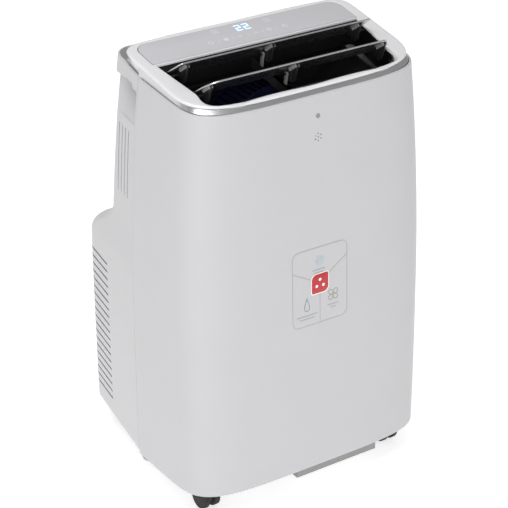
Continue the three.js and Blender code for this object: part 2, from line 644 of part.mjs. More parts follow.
const turnToY = new THREE.Matrix4().makeRotationZ(-Math.PI / 2);
place('blower_scroll', makeBlowerScroll(), blackPlastic);
place('blower_wheel', moved(cut(makeWheel(blowerRadius, blowerDepth, 24),
  rod('x', shaftRadius + 0.3, 80, 0, 0, 0, 16)),
new THREE.Matrix4().makeTranslation(0, blowerFaceY + blowerDepth / 2, blowerHeight).multiply(turnToY)), bluePlastic);
place('blower_motor', join(rod('y', 40, blowerMotorLength - 14, 0,
  scrollFrontY + housingWall + gap + (blowerMotorLength - 14) / 2, blowerHeight, 28),
rod('y', shaftRadius, blowerFaceY + 14 - scrollFrontY, 0, (blowerFaceY + 14 + scrollFrontY) / 2 + 6,
  blowerHeight, 16)), zinc);

/** A finned coil: a block with grooves down its faces and the bends of its tubes at one end. */
function makeCoil(x0, y0, z0, x1, y1, z1, grooveCount) {
  const deep = 2.5;
  const grooves = [];
  for (let i = 1; i <= grooveCount; i += 1) {
    const z = z0 + (z1 - z0) * i / (grooveCount + 1);
    grooves.push(block(x0 - 5, y0 - 5, z - 1, x1 + 5, y0 + deep, z + 1));
  }
  return cut(block(x0, y0, z0, x1, y1, z1), ...grooves);
}

/** The drip tray between the two halves: a plate with an upturned rim. */
function makeTray() {
  const outline = (inset) => {
    const rear = crownY + 158 - inset;
    const side = halfWidthAt(trayHeight) - 2 * wall - seamStep - Math.tan(Math.PI * rearTaper / 180) * (rear - seamY);
    return [...frontPlan(trayHeight, wall + 1.5 + inset, seamY).slice(1, -2), [side - inset, rear],
      [inset - side, rear]];
  };
  return cut(pulled(outline(0), trayHeight, trayHeight + 14), pulled(outline(3), trayHeight + 3, trayHeight + 20));
}

place('drip_tray', makeTray(), foamWhite);
const coilY = scrollRearY + 4.5;
place('evaporator', makeCoil(-150, coilY, trayHeight + 3 + gap, 150, coilY + 28, blowerHeight + 60, 10), finMetal);

// ---- Base and casters ---------------------------------------------------------------------------
const panWall = 2.5;
const panRim = 14;
const sumpDepth = 25;
const stemRadius = 5;
const wheelWidth = 10;
const hoodGap = 1.2;
const trail = 9;
const forkTop = panHeight - gap;
const casterPlaces = {
  front_left: [-frontCasterSpan / 2, frontY + casterFrontInset],
  front_right: [frontCasterSpan / 2, frontY + casterFrontInset],
  rear_left: [-rearCasterSpan / 2, backY - casterRearInset],
  rear_right: [rearCasterSpan / 2, backY - casterRearInset],
};

/** The base pan: a tray with a sump under its front edge and a hole for each caster's stem. */
function makeBasePan() {
  const body = pulled(casingPlan(panHeight, wall + 1.5), panHeight, panHeight + panRim);
  const hollow = pulled(casingPlan(panHeight, wall + 1.5 + panWall), panHeight + wall, panHeight + panRim + 5);
  const [sumpLeft, sumpRight, sumpFront, sumpRear] = [-36, 116, frontY + 9, frontY + 62];
  const sump = block(sumpLeft, sumpFront, panHeight - sumpDepth, sumpRight, sumpRear, panHeight + 1);
  const well = block(sumpLeft + panWall, sumpFront + panWall, panHeight - sumpDepth + panWall,
    sumpRight - panWall, sumpRear - panWall, panHeight + 10);
  const feet = [1, -1].map((side) => rod('z', 16, 20, side * (bodyWidth / 2 - 24), seamY - 4, panHeight - 9,
    20, 18));
  const holes = Object.values(casterPlaces).map(([x, y]) => rod('z', stemRadius + 0.4, 40, x, y, panHeight, 16));
  const bores = screwPlaces.map(([x, y, z, axis]) => rod(axis, screwRadius + gap, 22, x, y, z, 12));
  return cut(join(cut(body, hollow), sump, ...feet), well, ...holes, ...bores);
}

/** A caster's swivelling part: stem, top plate, centre web and a hood over the two wheels. */
function makeFork(x, y) {
  const axisY = y + trail;
  const width = 2 * wheelWidth + 10;
  const hood = cut(rod('x', wheelRadius + hoodGap + 2, width, x, axisY, wheelRadius, 20),
    rod('x', wheelRadius + hoodGap, width + 4, x, axisY, wheelRadius, 20),
    block(x - 40, axisY - 60, -10, x + 40, axisY + 60, wheelRadius + 5));
  const bossBottom = 2 * wheelRadius + hoodGap;
  const web = block(x - 3.6, axisY - 15, 14, x + 3.6, axisY + 15, bossBottom + 3);
  const boss = rod('z', 15, forkTop - bossBottom, x, y, (forkTop + bossBottom) / 2, 18);
  const stem = rod('z', stemRadius, 22, x, y, forkTop + 2, 14);
  const bore = rod('x', 3.3, 12, x, axisY, wheelRadius, 16);
  return cut(join(hood, web, boss, stem), bore);
}

/** A caster's two wheels on their axle. */
function makeWheels(x, y) {
  const tyre = (side) => rod('x', wheelRadius, wheelWidth, x + side * (wheelWidth / 2 + 4.2), y + trail,
    wheelRadius, 20);
  return join(tyre(1), tyre(-1), rod('x', 3, 12, x, y + trail, wheelRadius, 16));
}

place('base_pan', makeBasePan(), greyPlastic);
for (const [corner, [x, y]] of Object.entries(casterPlaces)) {
  place(`caster_fork_${corner}`, makeFork(x, y), blackPlastic);
  place(`caster_wheels_${corner}`, makeWheels(x, y), rubber);
}

// ---- Hot half -----------------------------------------------------------------------------------
const compressorRadius = 58;
const compressorX = -108;
const compressorY = -88;
const floorZ = panHeight + wall;
const grommetHeight = 12;
const fanX = 18;
const fanY = 22;
const fanWidth = 78;
const fanHousingWidth = 104;
const collarLength = 34;

/** The compressor's shell with its three-cornered foot plate. */
function makeCompressor() {
  const r = compressorRadius;
  const base = floorZ + grommetHeight + 2 * gap;
  const profile = [[0, base + 2], [r - 14, base + 2], [r, base + 18], [r, base + 196], [r - 16, base + 214],
    [0, base + 220]].map(([x, y]) => new THREE.Vector2(x, y));
  const can = solid(new THREE.LatheGeometry(profile, 28).rotateX(Math.PI / 2)
    .translate(compressorX, compressorY, 0));
  const plate = pulled(rounded(grommetPlaces.map(([x, y]) => [compressorX + (x - compressorX) * 1.35,
    compressorY + (y - compressorY) * 1.35]), [16, 16, 16], 4), base, base + 4);
  return join(can, plate);
}
const grommetPlaces = [90, 210, 330].map((degrees) => {
  const angle = THREE.MathUtils.degToRad(degrees);
  return [compressorX + 62 * Math.cos(angle), compressorY + 62 * Math.sin(angle)];
});

/** The exhaust fan's housing: a scroll in the Y-Z plane that opens backwards. */
function makeFanScroll() {
  const mouth = backY - wall - collarLength - gap;
  const profile = (inset, reach) => {
    const radius = fanRadius + 20 - inset;
    return rounded([[mouth + reach, fanHeight - 80 + inset], [mouth + reach, fanHeight + 80 - inset],
      [fanY + 50, fanHeight + radius], [fanY - radius, fanHeight + radius], [fanY - radius, fanHeight - radius],
      [fanY + 40, fanHeight - radius]], [0, 0, 30, radius * 0.95, radius * 0.95, 30]);
  };
  const outer = pulledX(profile(0, 0), fanX - fanHousingWidth / 2, fanX + fanHousingWidth / 2);
  const inner = pulledX(profile(housingWall, 20), fanX - fanHousingWidth / 2 + housingWall,
    fanX + fanHousingWidth / 2 - housingWall);
  return cut(outer, inner, rod('x', fanRadius - 14, 2 * fanHousingWidth, fanX, fanY, fanHeight, 28));
}

/** The exhaust port: a flange on the fan housing, a guard of bars, and a round collar through the rear shell. */
function makeCollar() {
  const inside = backY - wall - collarLength;
  const flange = block(fanX - 92, inside, fanHeight - 82, fanX + 64, inside + 3, fanHeight + 82);
  const tube = rod('y', exhaustRadius + wall, collarLength + wall, 0, inside + (collarLength + wall) / 2,
    fanHeight, 40);
  const bore = rod('y', exhaustRadius, 2 * collarLength + 20, 0, inside, fanHeight, 40);
  const bars = [];
  for (let z = guardPitch - exhaustRadius; z < exhaustRadius - 1; z += guardPitch) {
    const reach = Math.sqrt(exhaustRadius ** 2 - z ** 2) + 1;
    bars.push(block(-reach, inside, fanHeight + z - 1, reach, inside + 3, fanHeight + z + 1));
  }
  const spine = block(-1.5, inside, fanHeight - exhaustRadius - 1, 1.5, inside + 3, fanHeight + exhaustRadius + 1);
  return join(cut(join(flange, tube), bore), ...bars, spine);
}
const guardPitch = 15;

const coilX = bodyWidth / 2 - 73;

place('compressor', makeCompressor(), steel);
grommetPlaces.forEach(([x, y], i) => place(`compressor_grommet_${i + 1}`,
  rod('z', 9, grommetHeight, x, y, floorZ + gap + grommetHeight / 2, 16), rubber));
place('accumulator', rod('z', 20, 130, compressorX + compressorRadius + 26, compressorY - 30, floorZ + 120, 20), steel);
for (const [name, side] of [['condenser_left', -1], ['condenser_right', 1]]) {
  const inner = side > 0 ? coilX : -coilX - 24;
  place(name, makeCoil(inner, 40, panHeight + panRim, inner + 24, backY - bulgeRadius - 6, bulgeTop - 12, 12), finMetal);
}
place('fan_housing', makeFanScroll(), blackPlastic);
place('fan_wheel', moved(cut(makeWheel(fanRadius, fanWidth, 18),
  rod('x', shaftRadius + 0.3, 2 * fanWidth, 0, 0, 0, 16)),
  new THREE.Matrix4().makeTranslation(fanX, fanY, fanHeight)), blackPlastic);
place('fan_motor', join(rod('x', 34, 44, fanX + fanHousingWidth / 2 + 26, fanY, fanHeight, 28),
  rod('x', shaftRadius, fanHousingWidth / 2 + 20, fanX + fanHousingWidth / 4 + 2, fanY, fanHeight, 16)), zinc);
place('exhaust_collar', makeCollar(), blackPlastic);
place('electrical_box', cut(block(96, -158, 250, 176, -108, 390), block(99, -155, 253, 173, -100, 387)), zinc);
place('capacitor', rod('z', 17, 84, 136, -130, 300, 20), blackPlastic);
place('suction_pipe', pipe([[compressorX + 20, compressorY, floorZ + 250], [compressorX + 20, compressorY, 350],
  [compressorX + 60, compressorY + 60, 372], [-140, 0, 380], [-154, 60, 372], [-154, 80, bulgeTop - 9]], 4.5), copper);
place('discharge_pipe', pipe([[compressorX - 20, compressorY, floorZ + 250], [compressorX - 20, compressorY, 330],
  [compressorX + 30, compressorY - 50, 352], [60, -90, 360], [140, -40, 362], [154, 70, bulgeTop - 7]], 3.5), copper);

// ---- Fittings -----------------------------------------------------------------------------------

/** A drain cap, flush with the rear shell, with a plug that closes the spout behind it. */
function makeCap([x, z]) {
  return join(rod('y', capRadius, 6, x, backY - 3, z, 24), rod('y', plugRadius, 18, x, backY - 13, z, 20),
    block(x - 2, backY - 1, z - capRadius + 2, x + 2, backY, z + capRadius - 2));
}

/** The spout that a drain cap closes. */
function makeSpout([x, z]) {
  return cut(rod('y', plugRadius + 4, 22, x, backY - 6 - gap - 11, z, 20),
    rod('y', plugRadius + gap, 60, x, backY - 20, z, 20));
}

drainPlaces.forEach((at, i) => {
  const height = ['lower', 'upper'][i];
  place(`drain_cap_${height}`, makeCap(at), rubber);
  place(`drain_spout_${height}`, makeSpout(at), foamWhite);
});
place('cord_gland', cut(rod('y', glandRadius, 14, glandPlace[0], backY - 7, glandPlace[1], 20),
  rod('y', 4, 40, glandPlace[0], backY, glandPlace[1], 14)), blackPlastic);
screwPlaces.forEach(([x, y, z, axis], i) => {
  place(`casing_screw_${i + 1}`, rod(axis, screwRadius, 9, x, y, z, 12), zinc);
});

export default model;
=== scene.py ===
import math

import bmesh
import bpy
import numpy as np
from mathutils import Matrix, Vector


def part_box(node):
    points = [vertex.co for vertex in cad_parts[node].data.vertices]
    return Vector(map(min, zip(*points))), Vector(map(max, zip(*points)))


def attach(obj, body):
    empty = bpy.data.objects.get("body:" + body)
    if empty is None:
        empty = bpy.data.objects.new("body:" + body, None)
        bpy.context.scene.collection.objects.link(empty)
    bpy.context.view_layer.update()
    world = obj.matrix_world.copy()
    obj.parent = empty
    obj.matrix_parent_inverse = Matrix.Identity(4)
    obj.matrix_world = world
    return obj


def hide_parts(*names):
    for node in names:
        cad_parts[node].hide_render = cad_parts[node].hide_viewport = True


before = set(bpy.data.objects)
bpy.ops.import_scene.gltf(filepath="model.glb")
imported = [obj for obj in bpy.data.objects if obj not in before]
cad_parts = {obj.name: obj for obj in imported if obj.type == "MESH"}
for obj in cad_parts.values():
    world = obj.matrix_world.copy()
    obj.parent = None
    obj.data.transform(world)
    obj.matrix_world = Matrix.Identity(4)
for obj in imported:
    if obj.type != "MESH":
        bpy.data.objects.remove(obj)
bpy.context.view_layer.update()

MM = 0.001

# ---- Studio --------------------------------------------------------------------------------------
# A portable air conditioner stands on a pale floor. The camera looks down on its front left corner
# from about two and a half metres, and three large soft boxes light it in a white room.
eye = Vector((-1.4628, -2.1855, 1.6626))
aim = Vector((-0.0380, -0.0785, 0.3714))
lens = bpy.data.cameras.new("view")
lens.lens = 133.4
lens.sensor_width = 36
lens.shift_x = -0.005
lens.shift_y = 0.0005
camera = bpy.data.objects.new("view", lens)
camera.location = eye
camera.rotation_euler = (aim - eye).to_track_quat("-Z", "Y").to_euler()
scene = bpy.context.scene
scene.collection.objects.link(camera)
scene.camera = camera
scene.view_settings.view_transform = "Standard"

room = bpy.data.worlds.new("room")
scene.world = room
room.use_nodes = True
# The room looks pure white, but gives less light than it shows, so that the soft boxes can shape the object.
background = room.node_tree.nodes["Background"]
background.inputs["Color"].default_value = (1, 1, 1, 1)
ray = room.node_tree.nodes.new("ShaderNodeLightPath")
level = room.node_tree.nodes.new("ShaderNodeMapRange")
level.inputs["To Min"].default_value = 0.38
room.node_tree.links.new(ray.outputs["Is Camera Ray"], level.inputs["Value"])
room.node_tree.links.new(level.outputs["Result"], background.inputs["Strength"])


def soft_box(name, place, size, watts):
    """A square area light of the given size at a place, turned towards the middle of the object."""
    light = bpy.data.lights.new(name, "AREA")
    light.size = size
    light.energy = watts
    box = bpy.data.objects.new(name, light)
    box.location = place
    box.rotation_euler = (Vector((0, 0, 0.35)) - box.location).to_track_quat("-Z", "Y").to_euler()
    scene.collection.objects.link(box)


soft_box("key_light", (-1.9, -3.1, 1.9), 1.4, 48)
soft_box("side_light", (-3.2, 0.6, 1.5), 1.4, 2)
soft_box("top_light", (-0.8, -0.4, 3.4), 1.6, 44)


class Wire:
    """A shader socket in a formula: each operator on it adds one Math node."""

    def __init__(self, paint, socket):
        self.paint = paint
        self.socket = socket

    def maths(self, operation, *values):
        return self.paint.node("ShaderNodeMath", {"operation": operation}, dict(enumerate(values)))

    def __add__(self, other):
        return self.maths("ADD", self, other)

    def __sub__(self, other):
        return self.maths("SUBTRACT", self, other)

    def __mul__(self, other):
        return self.maths("MULTIPLY", self, other)

    def __pow__(self, other):
        return self.maths("POWER", self, other)

    __radd__ = __add__


class Paint:
    """A material being built round its Principled shader; fixed values go on the shader's own sockets."""

    def __init__(self, name, **fixed):
        self.material = bpy.data.materials.new(name)
        self.material.use_nodes = True
        self.tree = self.material.node_tree
        self.shader = self.tree.nodes["Principled BSDF"]
        for socket, value in fixed.items():
            self.shader.inputs[socket.replace("_", " ")].default_value = value

    def node(self, kind, settings, values, output=0):
        """One node: its settings are set first, then each socket gets a value or a link."""
        node = self.tree.nodes.new(kind)
        for setting, value in settings.items():
            setattr(node, setting, value)
        for socket, value in values.items():
            self.feed(node.inputs[socket], value)
        return Wire(self, node.outputs[output])

    def feed(self, socket, value):
        if isinstance(value, Wire):
            self.tree.links.new(value.socket, socket)
        else:
            socket.default_value = value

    def place(self):
        """The point on the piece, in metres."""
        return self.node("ShaderNodeTexCoord", {}, {}, "Object")

    def noise(self, size, detail=2.0, stretch=(1, 1, 1)):
        """Smooth random value about 0.5 whose lumps are about the given size in metres."""
        point = self.node("ShaderNodeMapping", {}, {"Vector": self.place(), "Scale": stretch})
        return self.node("ShaderNodeTexNoise", {}, {"Vector": point, "Scale": 1 / size, "Detail": detail})

    def blend(self, share, first, second):
        """A colour between two colours."""
        return self.node("ShaderNodeMix", {"data_type": "RGBA"}, {0: share, 6: first, 7: second}, 2)

    def set(self, **varied):
        """Lead values that change over the surface into the shader."""
        for socket, value in varied.items():
            self.feed(self.shader.inputs[socket.replace("_", " ")], value)

    def relief(self, height, depth):
        """Bump of a height pattern, with its depth in metres."""
        normal = self.node("ShaderNodeBump", {}, {"Height": height, "Distance": depth, "Strength": 1.0})
        self.set(Normal=normal)


def grey(value):
    return (value, value, value, 1.0)


def shaded(colour, factor):
    """A colour with each part multiplied by a factor."""
    return tuple(min(1.0, part * factor) for part in colour[:3]) + (1.0,)


def moulded(name, colour, gloss, grain=0.5 * MM, depth=0.02 * MM, **fixed):
    """Moulded plastic: a fine eroded grain, tone that drifts by two per cent and gloss that drifts with it."""
    paint = Paint(name, Specular_IOR_Level=0.5, **fixed)
    drift = paint.noise(70 * MM, 3.0)
    speck = paint.noise(grain, 2.0)
    paint.set(Base_Color=paint.blend(drift, shaded(colour, 0.975), shaded(colour, 1.02)))
    paint.set(Roughness=gloss + (drift - 0.5) * 0.06 + (speck - 0.5) * 0.05)
    paint.relief(speck, depth)
    return paint.material


# ---- Base pan ------------------------------------------------------------------------------------
# The pan is a grey moulded tray that carries the compressor. Its sump hangs under the front edge and
# two round feet under the sides; four screws through its rim hold the casing.
pan_grey = moulded("pan_grey", grey(0.27), 0.5, grain=0.9 * MM, depth=0.04 * MM)


def finished(node, material, edge=0.0):
    """Give a CAD node its finish; an edge width also rounds its corners."""
    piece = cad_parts[node]
    piece.data.materials.clear()
    piece.data.materials.append(material)
    if edge:
        weld = piece.modifiers.new("weld", "WELD")
        weld.merge_threshold = 0.005 * MM
        bevel = piece.modifiers.new("edge", "BEVEL")
        bevel.width = edge
        bevel.segments = 2
        bevel.limit_method = "ANGLE"
        bevel.angle_limit = math.radians(40)
        bevel.harden_normals = False


finished("base_pan", pan_grey, 0.6 * MM)

# ---- Casters -------------------------------------------------------------------------------------
# Each caster is a black nylon fork that swivels on its stem, with a hood over two rubber-tyred wheels
# on one axle. The stem is pressed into the base pan.
fork_black = moulded("fork_black", grey(0.012), 0.42, grain=0.8 * MM, depth=0.03 * MM)
tyre_black = moulded("tyre_black", grey(0.02), 0.75, grain=1.5 * MM, depth=0.05 * MM)


def net(rows, columns, wrap_rows=False, wrap_columns=False):
    """Corner numbers of the quads of a grid of points that is numbered row by row."""
    i = np.arange(rows if wrap_rows else rows - 1)[:, None]
    j = np.arange(columns if wrap_columns else columns - 1)[None, :]
    up = (i + 1) % rows
    on = (j + 1) % columns
    corners = np.broadcast_arrays(i * columns + j, i * columns + on, up * columns + on, up * columns + j)
    return np.stack(corners, -1).reshape(-1, 4)


def lofted(rings):
    """A solid skinned over rings of points, closed by a fan of triangles at each end."""
    count, sides = rings.shape[:2]
    ends = rings[[0, -1]].mean(1)
    j = np.arange(sides)
    on = (j + 1) % sides
    last = (count - 1) * sides
    middle = np.full(sides, count * sides)
    fans = np.concatenate([np.stack([on, j, middle], 1), np.stack([last + j, last + on, middle + 1], 1)])
    points = np.concatenate([rings.reshape(-1, 3), ends])
    return points, net(count, sides, False, True).tolist() + fans.tolist()


def hooped(rings):
    """A closed ring skinned over rings of points, the last joined to the first."""
    count, sides = rings.shape[:2]
    return rings.reshape(-1, 3), net(count, sides, True, True).tolist()


def spun(profile, axis, centre, sides=72):
    """Rings of a profile of (radius, place along the axis) turned round an axis through a centre."""
    angle = np.linspace(0, 2 * math.pi, sides, endpoint=False)
    radius = profile[:, :1]
    along = np.broadcast_to(profile[:, 1:], (len(profile), sides))
    first = radius * np.cos(angle)
    second = radius * np.sin(angle)
    order = {"x": (along, first, second), "y": (second, along, first), "z": (first, second, along)}
    return np.stack(order[axis], -1) + np.array(centre)


def edged(radius, low, high, edge, steps=4):
    """Profile of a disc between two places along its axis, with its rim rounded by quarter circles."""
    turn = np.linspace(0, math.pi / 2, steps + 1)
    rim = radius - edge + edge * np.sin(turn)
    start = low + edge - edge * np.cos(turn)
    return np.concatenate([np.stack([rim, start], 1), np.stack([rim[::-1], low + high - start[::-1]], 1)])


def make(name, forms, finish, body="root", slot=None, stands_for=(), crease=32):
    """One piece from closed forms of points and faces, turned to face outwards and set on its body."""
    points, faces, start = [], [], 0
    for form_points, form_faces in forms:
        points.append(form_points)
        faces += [[corner + start for corner in face] for face in form_faces]
        start += len(form_points)
    mesh = bpy.data.meshes.new(name)
    mesh.from_pydata(np.concatenate(points).tolist(), [], faces)
    if finish:
        mesh.materials.append(finish)
    face_out(mesh, crease)
    piece = bpy.data.objects.new(name, mesh)
    scene.collection.objects.link(piece)
    if slot:
        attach(piece, body)
    if stands_for:
        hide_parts(*stands_for)
    return piece


def face_out(mesh, crease):
    """Recalculate the outside of closed forms and smooth every edge flatter than the crease angle."""
    work = bmesh.new()
    work.from_mesh(mesh)
    bmesh.ops.recalc_face_normals(work, faces=work.faces)
    work.to_mesh(mesh)
    work.free()
    mesh.shade_smooth()
    mesh.set_sharp_from_angle(angle=math.radians(crease))


def hood(centre, radius, skin, half_width, sweep):
    """A curved shield over the wheels: an arc in the Y-Z plane from one angle to another, with rounded sides."""
    across, angle = np.meshgrid(np.linspace(-1, 1, 15), np.radians(np.linspace(*sweep, 28)))
    reach = radius + skin - 1.6 * MM * across**6
    grids = [np.stack([half_width * across, away * np.cos(angle), away * np.sin(angle)], -1) + centre
             for away in (reach, radius)]
    return walled(*grids)


def walled(outer, inner, loop=False):
    """A wall between two grids of one shape, closed along its free edges; loop joins its columns round."""
    rows, columns = outer.shape[:2]
    section = np.concatenate([outer, inner[::-1]])
    faces = net(2 * rows, columns, True, loop).tolist()
    if not loop:
        i = np.arange(rows - 1)
        strip = np.stack([i, i + 1, 2 * rows - 2 - i, 2 * rows - 1 - i], 1) * columns
        faces += strip.tolist() + (strip + columns - 1).tolist()
    return section.reshape(-1, 3), faces


for corner in ("front_left", "front_right", "rear_left", "rear_right"):
    fork_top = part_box("caster_fork_" + corner)[1].z
    wheel_low, wheel_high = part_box("caster_wheels_" + corner)
    hub = np.array((wheel_low + wheel_high) / 2)
    tyre_radius = (wheel_high.z - wheel_low.z) / 2
    half_track = (wheel_high.x - wheel_low.x) / 2
    hood_radius = tyre_radius + 1.2 * MM
    stem = np.array((hub[0], hub[1] - 9 * MM, 0))
    shield = hood(hub, hood_radius, 2 * MM, half_track + 0.8 * MM, (16, 164))
    web = lofted(spun(edged(16 * MM, -3.4 * MM, 3.4 * MM, 1 * MM), "x", hub + (0, 0, 4 * MM), 40))
    seat = lofted(spun(edged(15 * MM, 41.5 * MM, 51.4 * MM, 1 * MM), "z", stem, 48))
    pin = lofted(spun(edged(5 * MM, 50 * MM, fork_top, 1 * MM), "z", stem, 32))
    make("caster_body_" + corner, [shield, web, seat, pin], fork_black, "caster_" + corner, "black_plastic",
         ["caster_fork_" + corner])
    forms = []
    for side in (-1, 1):
        middle = hub + (side * 9.2 * MM, 0, 0)
        forms.append(lofted(spun(edged(tyre_radius, -5 * MM, 5 * MM, 1.8 * MM), "x", middle)))
        face = np.array([[13, 4.8], [12.6, 5.15], [4, 5.15], [3, 5.6], [0.1, 5.6], [0.1, 4.6], [13, 4.6]]) * MM
        face[:, 1] *= side
        forms.append(hooped(spun(face, "x", middle, 48)))
    forms.append(lofted(spun(edged(3 * MM, -6 * MM, 6 * MM, 0.3 * MM), "x", hub, 24)))
    make("caster_wheel_pair_" + corner, forms, tyre_black, "wheels_" + corner, "rubber",
         ["caster_wheels_" + corner])

# ---- Compressor ----------------------------------------------------------------------------------
# The compressor is a welded steel can in black paint with a small accumulator beside it, and it stands
# on three rubber grommets in the pan.


def painted(name, colour, gloss, metal=0.0):
    """Sprayed or plated metal: orange-peel waves two millimetres wide and a slow drift of tone."""
    paint = Paint(name, Metallic=metal)
    drift = paint.noise(45 * MM, 4.0)
    peel = paint.noise(2 * MM, 1.0)
    paint.set(Base_Color=paint.blend(drift, shaded(colour, 0.88), shaded(colour, 1.08)))
    paint.set(Roughness=gloss + (drift - 0.5) * 0.12)
    paint.relief(peel, 0.03 * MM)
    return paint.material


can_black = painted("can_black", grey(0.03), 0.4)
grommet_black = moulded("grommet_black", grey(0.015), 0.8)
finished("compressor", can_black, 1.2 * MM)
finished("accumulator", can_black, 3 * MM)
for number in (1, 2, 3):
    finished(f"compressor_grommet_{number}", grommet_black, 1 * MM)

# ---- Coils and pipes -----------------------------------------------------------------------------
# The evaporator and the two condensers are stacks of thin aluminium fins, and bare copper pipes join
# them to the compressor.


def finned(name, colour, pitch):
    """Edges of thin fins with painted shade in the gaps a pitch apart along X and Y, each fin a little brighter or
    duller.
    """
    paint = Paint(name, Metallic=0.9)
    steps = {"wave_type": "BANDS", "bands_direction": "DIAGONAL"}
    sizes = {"Vector": paint.place(), "Scale": 1 / pitch / 3, "Distortion": 0.0}
    bands = paint.node("ShaderNodeTexWave", steps, sizes)
    drift = paint.noise(12 * MM, 3.0)
    # The dark end of the bands, three tenths of the colour, is painted shade in the gaps between the fins.
    paint.set(Base_Color=paint.blend(bands, shaded(colour, 0.3), shaded(colour, 1.1)))
    paint.set(Roughness=0.3 + drift * 0.25)
    paint.relief(bands, 0.4 * MM)
    return paint.material


fins = finned("coil_fins", (0.6, 0.62, 0.64, 1), 1.8 * MM)
copper = painted("pipe_copper", (0.72, 0.36, 0.2, 1), 0.32, 1.0)
for node in ("evaporator", "condenser_left", "condenser_right"):
    finished(node, fins)
for node in ("suction_pipe", "discharge_pipe"):
    finished(node, copper)

# ---- Exhaust fan and electrical box ----------------------------------------------------------------
# A black centrifugal wheel turns in a foam scroll and blows out of the rear port. The motor, the box
# of the electrical parts and the screws are zinc plated steel.
foam_white = moulded("foam_white", (0.75, 0.75, 0.72, 1), 0.85, grain=3 * MM, depth=0.25 * MM)
zinc = painted("zinc_plate", (0.5, 0.51, 0.52, 1), 0.38, 1.0)
wheel_black = moulded("wheel_black", grey(0.02), 0.5)
for node in ("fan_housing", "drip_tray", "drain_spout_lower", "drain_spout_upper"):
    finished(node, foam_white, 0.8 * MM)
for node in ("fan_motor", "electrical_box", "louver_motor", "blower_motor"):
    finished(node, zinc, 0.5 * MM)
finished("fan_wheel", wheel_black, 0.3 * MM)
finished("capacitor", wheel_black, 1 * MM)

# ---- Boards --------------------------------------------------------------------------------------
# The control board and the receiver board are green laminate with copper tracks under the varnish.


def laminate(name):
    """Varnished board: rows of tracks from a brick pattern, lighter than the green between them."""
    paint = Paint(name, Coat_Weight=0.6, Roughness=0.35)
    bricks = {"Vector": paint.place(), "Scale": 60.0, "Mortar Size": 0.06, "Color1": (0.02, 0.1, 0.05, 1),
              "Color2": (0.025, 0.12, 0.06, 1), "Mortar": (0.06, 0.26, 0.12, 1)}
    paint.set(Base_Color=paint.node("ShaderNodeTexBrick", {}, bricks, "Color"))
    paint.relief(paint.noise(1 * MM, 1.0), 0.02 * MM)
    return paint.material


board_green = laminate("board_green")
finished("control_board", board_green)
finished("receiver_board", board_green)

# ---- Blower --------------------------------------------------------------------------------------
# The blower's scroll is coloured near black inside as painted shade, so that its mouth stays dark under the louvers.
# Its wheel is
# moulded in dark blue plastic: a back plate, a front ring and sixty forward-leaning blades.
scroll_painted_shade = moulded("scroll_painted_shade", grey(0.006), 0.6, grain=1 * MM)
wheel_blue = moulded("wheel_blue", (0.004, 0.005, 0.03, 1), 0.5)
finished("blower_scroll", scroll_painted_shade)

wheel_low, wheel_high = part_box("blower_wheel")
wheel_centre = np.array(((wheel_low.x + wheel_high.x) / 2, 0, (wheel_low.z + wheel_high.z) / 2))
wheel_radius = (wheel_high.x - wheel_low.x) / 2
wheel_front = wheel_low.y
wheel_back = wheel_front + 62 * MM
wheel_plate = 2.4 * MM
blade_count = 60


def blower_blade(turn):
    """A blade: a short arc across the rim, leaning forward, pulled along the axis between plate and ring."""
    share = np.linspace(0, 1, 5)
    radius = wheel_radius * (0.86 + 0.13 * share)
    lean = turn + 0.16 * share**1.6
    thick = 0.5 * MM * np.array([-1, 1])[:, None] / radius
    loop = np.concatenate([np.stack([radius, lean + thick[0]], 1), np.stack([radius, lean + thick[1]], 1)[::-1]])
    flat = np.stack([loop[:, 0] * np.cos(loop[:, 1]), 0 * loop[:, 0], loop[:, 0] * np.sin(loop[:, 1])], 1)
    ends = np.array([wheel_front + 1 * MM, wheel_back - 1 * MM])
    return lofted(flat + np.stack([0 * ends, ends, 0 * ends], 1)[:, None] + wheel_centre)


forms = [blower_blade(turn) for turn in np.arange(blade_count) * 2 * math.pi / blade_count]
hub = np.array([[16, 2.4], [16, 9], [4.4, 9], [4.4, -7], [16, -7], [16, 0]]) * MM
plate_disc = np.concatenate([[(wheel_radius, 0), (wheel_radius, wheel_plate)], hub]) + (0, wheel_back - wheel_plate)
rim_ring = np.array([[1, 0], [1, 1], [0.85, 1], [0.85, 0]]) * (wheel_radius, wheel_plate) + (0, wheel_front)
forms += [hooped(spun(profile, "y", wheel_centre)) for profile in (plate_disc, rim_ring)]
make("blower_impeller", forms, wheel_blue, "blower", "blue_wheel", ["blower_wheel"])

# ---- Front shell ---------------------------------------------------------------------------------
# One large white moulding covers the front and the sides. Its plan is a squared oval that is widest a
# little below the middle, and the face leans back towards the top. Its edges are rolled.
shell_white = moulded("shell_white", (0.525, 0.525, 0.536, 1), 0.36, grain=0.6 * MM, depth=0.008 * MM)
shell_low, shell_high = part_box("front_shell")
bezel_low, bezel_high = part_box("top_bezel")
bezel_setback = 7 * MM
bezel_start = bezel_low.y - bezel_setback
half_body = shell_high.x
front_y = shell_low.y
seam_y = shell_high.y
crown_y = front_y + 119 * MM
lower_edge = shell_low.z
wall = 3 * MM
edge_radius = 1.8 * MM
seam_radius = 12 * MM
slope = math.radians(10.4)
squareness = 4.7
waist = 303 * MM


def bezel_z(y):
    """Height of the bezel's sloping top face."""
    return bezel_high.z - math.tan(slope) * (bezel_high.y - y)


def rim_z(y):
    """Height of the casing's rim, which rises towards the back."""
    return bezel_z(bezel_start) - 8 * MM + 0.108 * (y - bezel_start)


def half_width(z):
    """Half of the casing's width at a height: two parabolas that meet at the waist."""
    above = np.maximum(0, (z - waist) / (rim_z(crown_y) - waist))
    below = np.maximum(0, (waist - z) / (waist - lower_edge))
    return half_body - 18 * MM * above**2 - 1.6 * MM * below**2


def face_y(z):
    """Place of the front face at a height."""
    rise = np.maximum(0, z - lower_edge) / (rim_z(bezel_start) - lower_edge)
    return front_y + 20 * MM * rise**1.6


def bend(value, power):
    return np.sign(value) * np.abs(value)**power


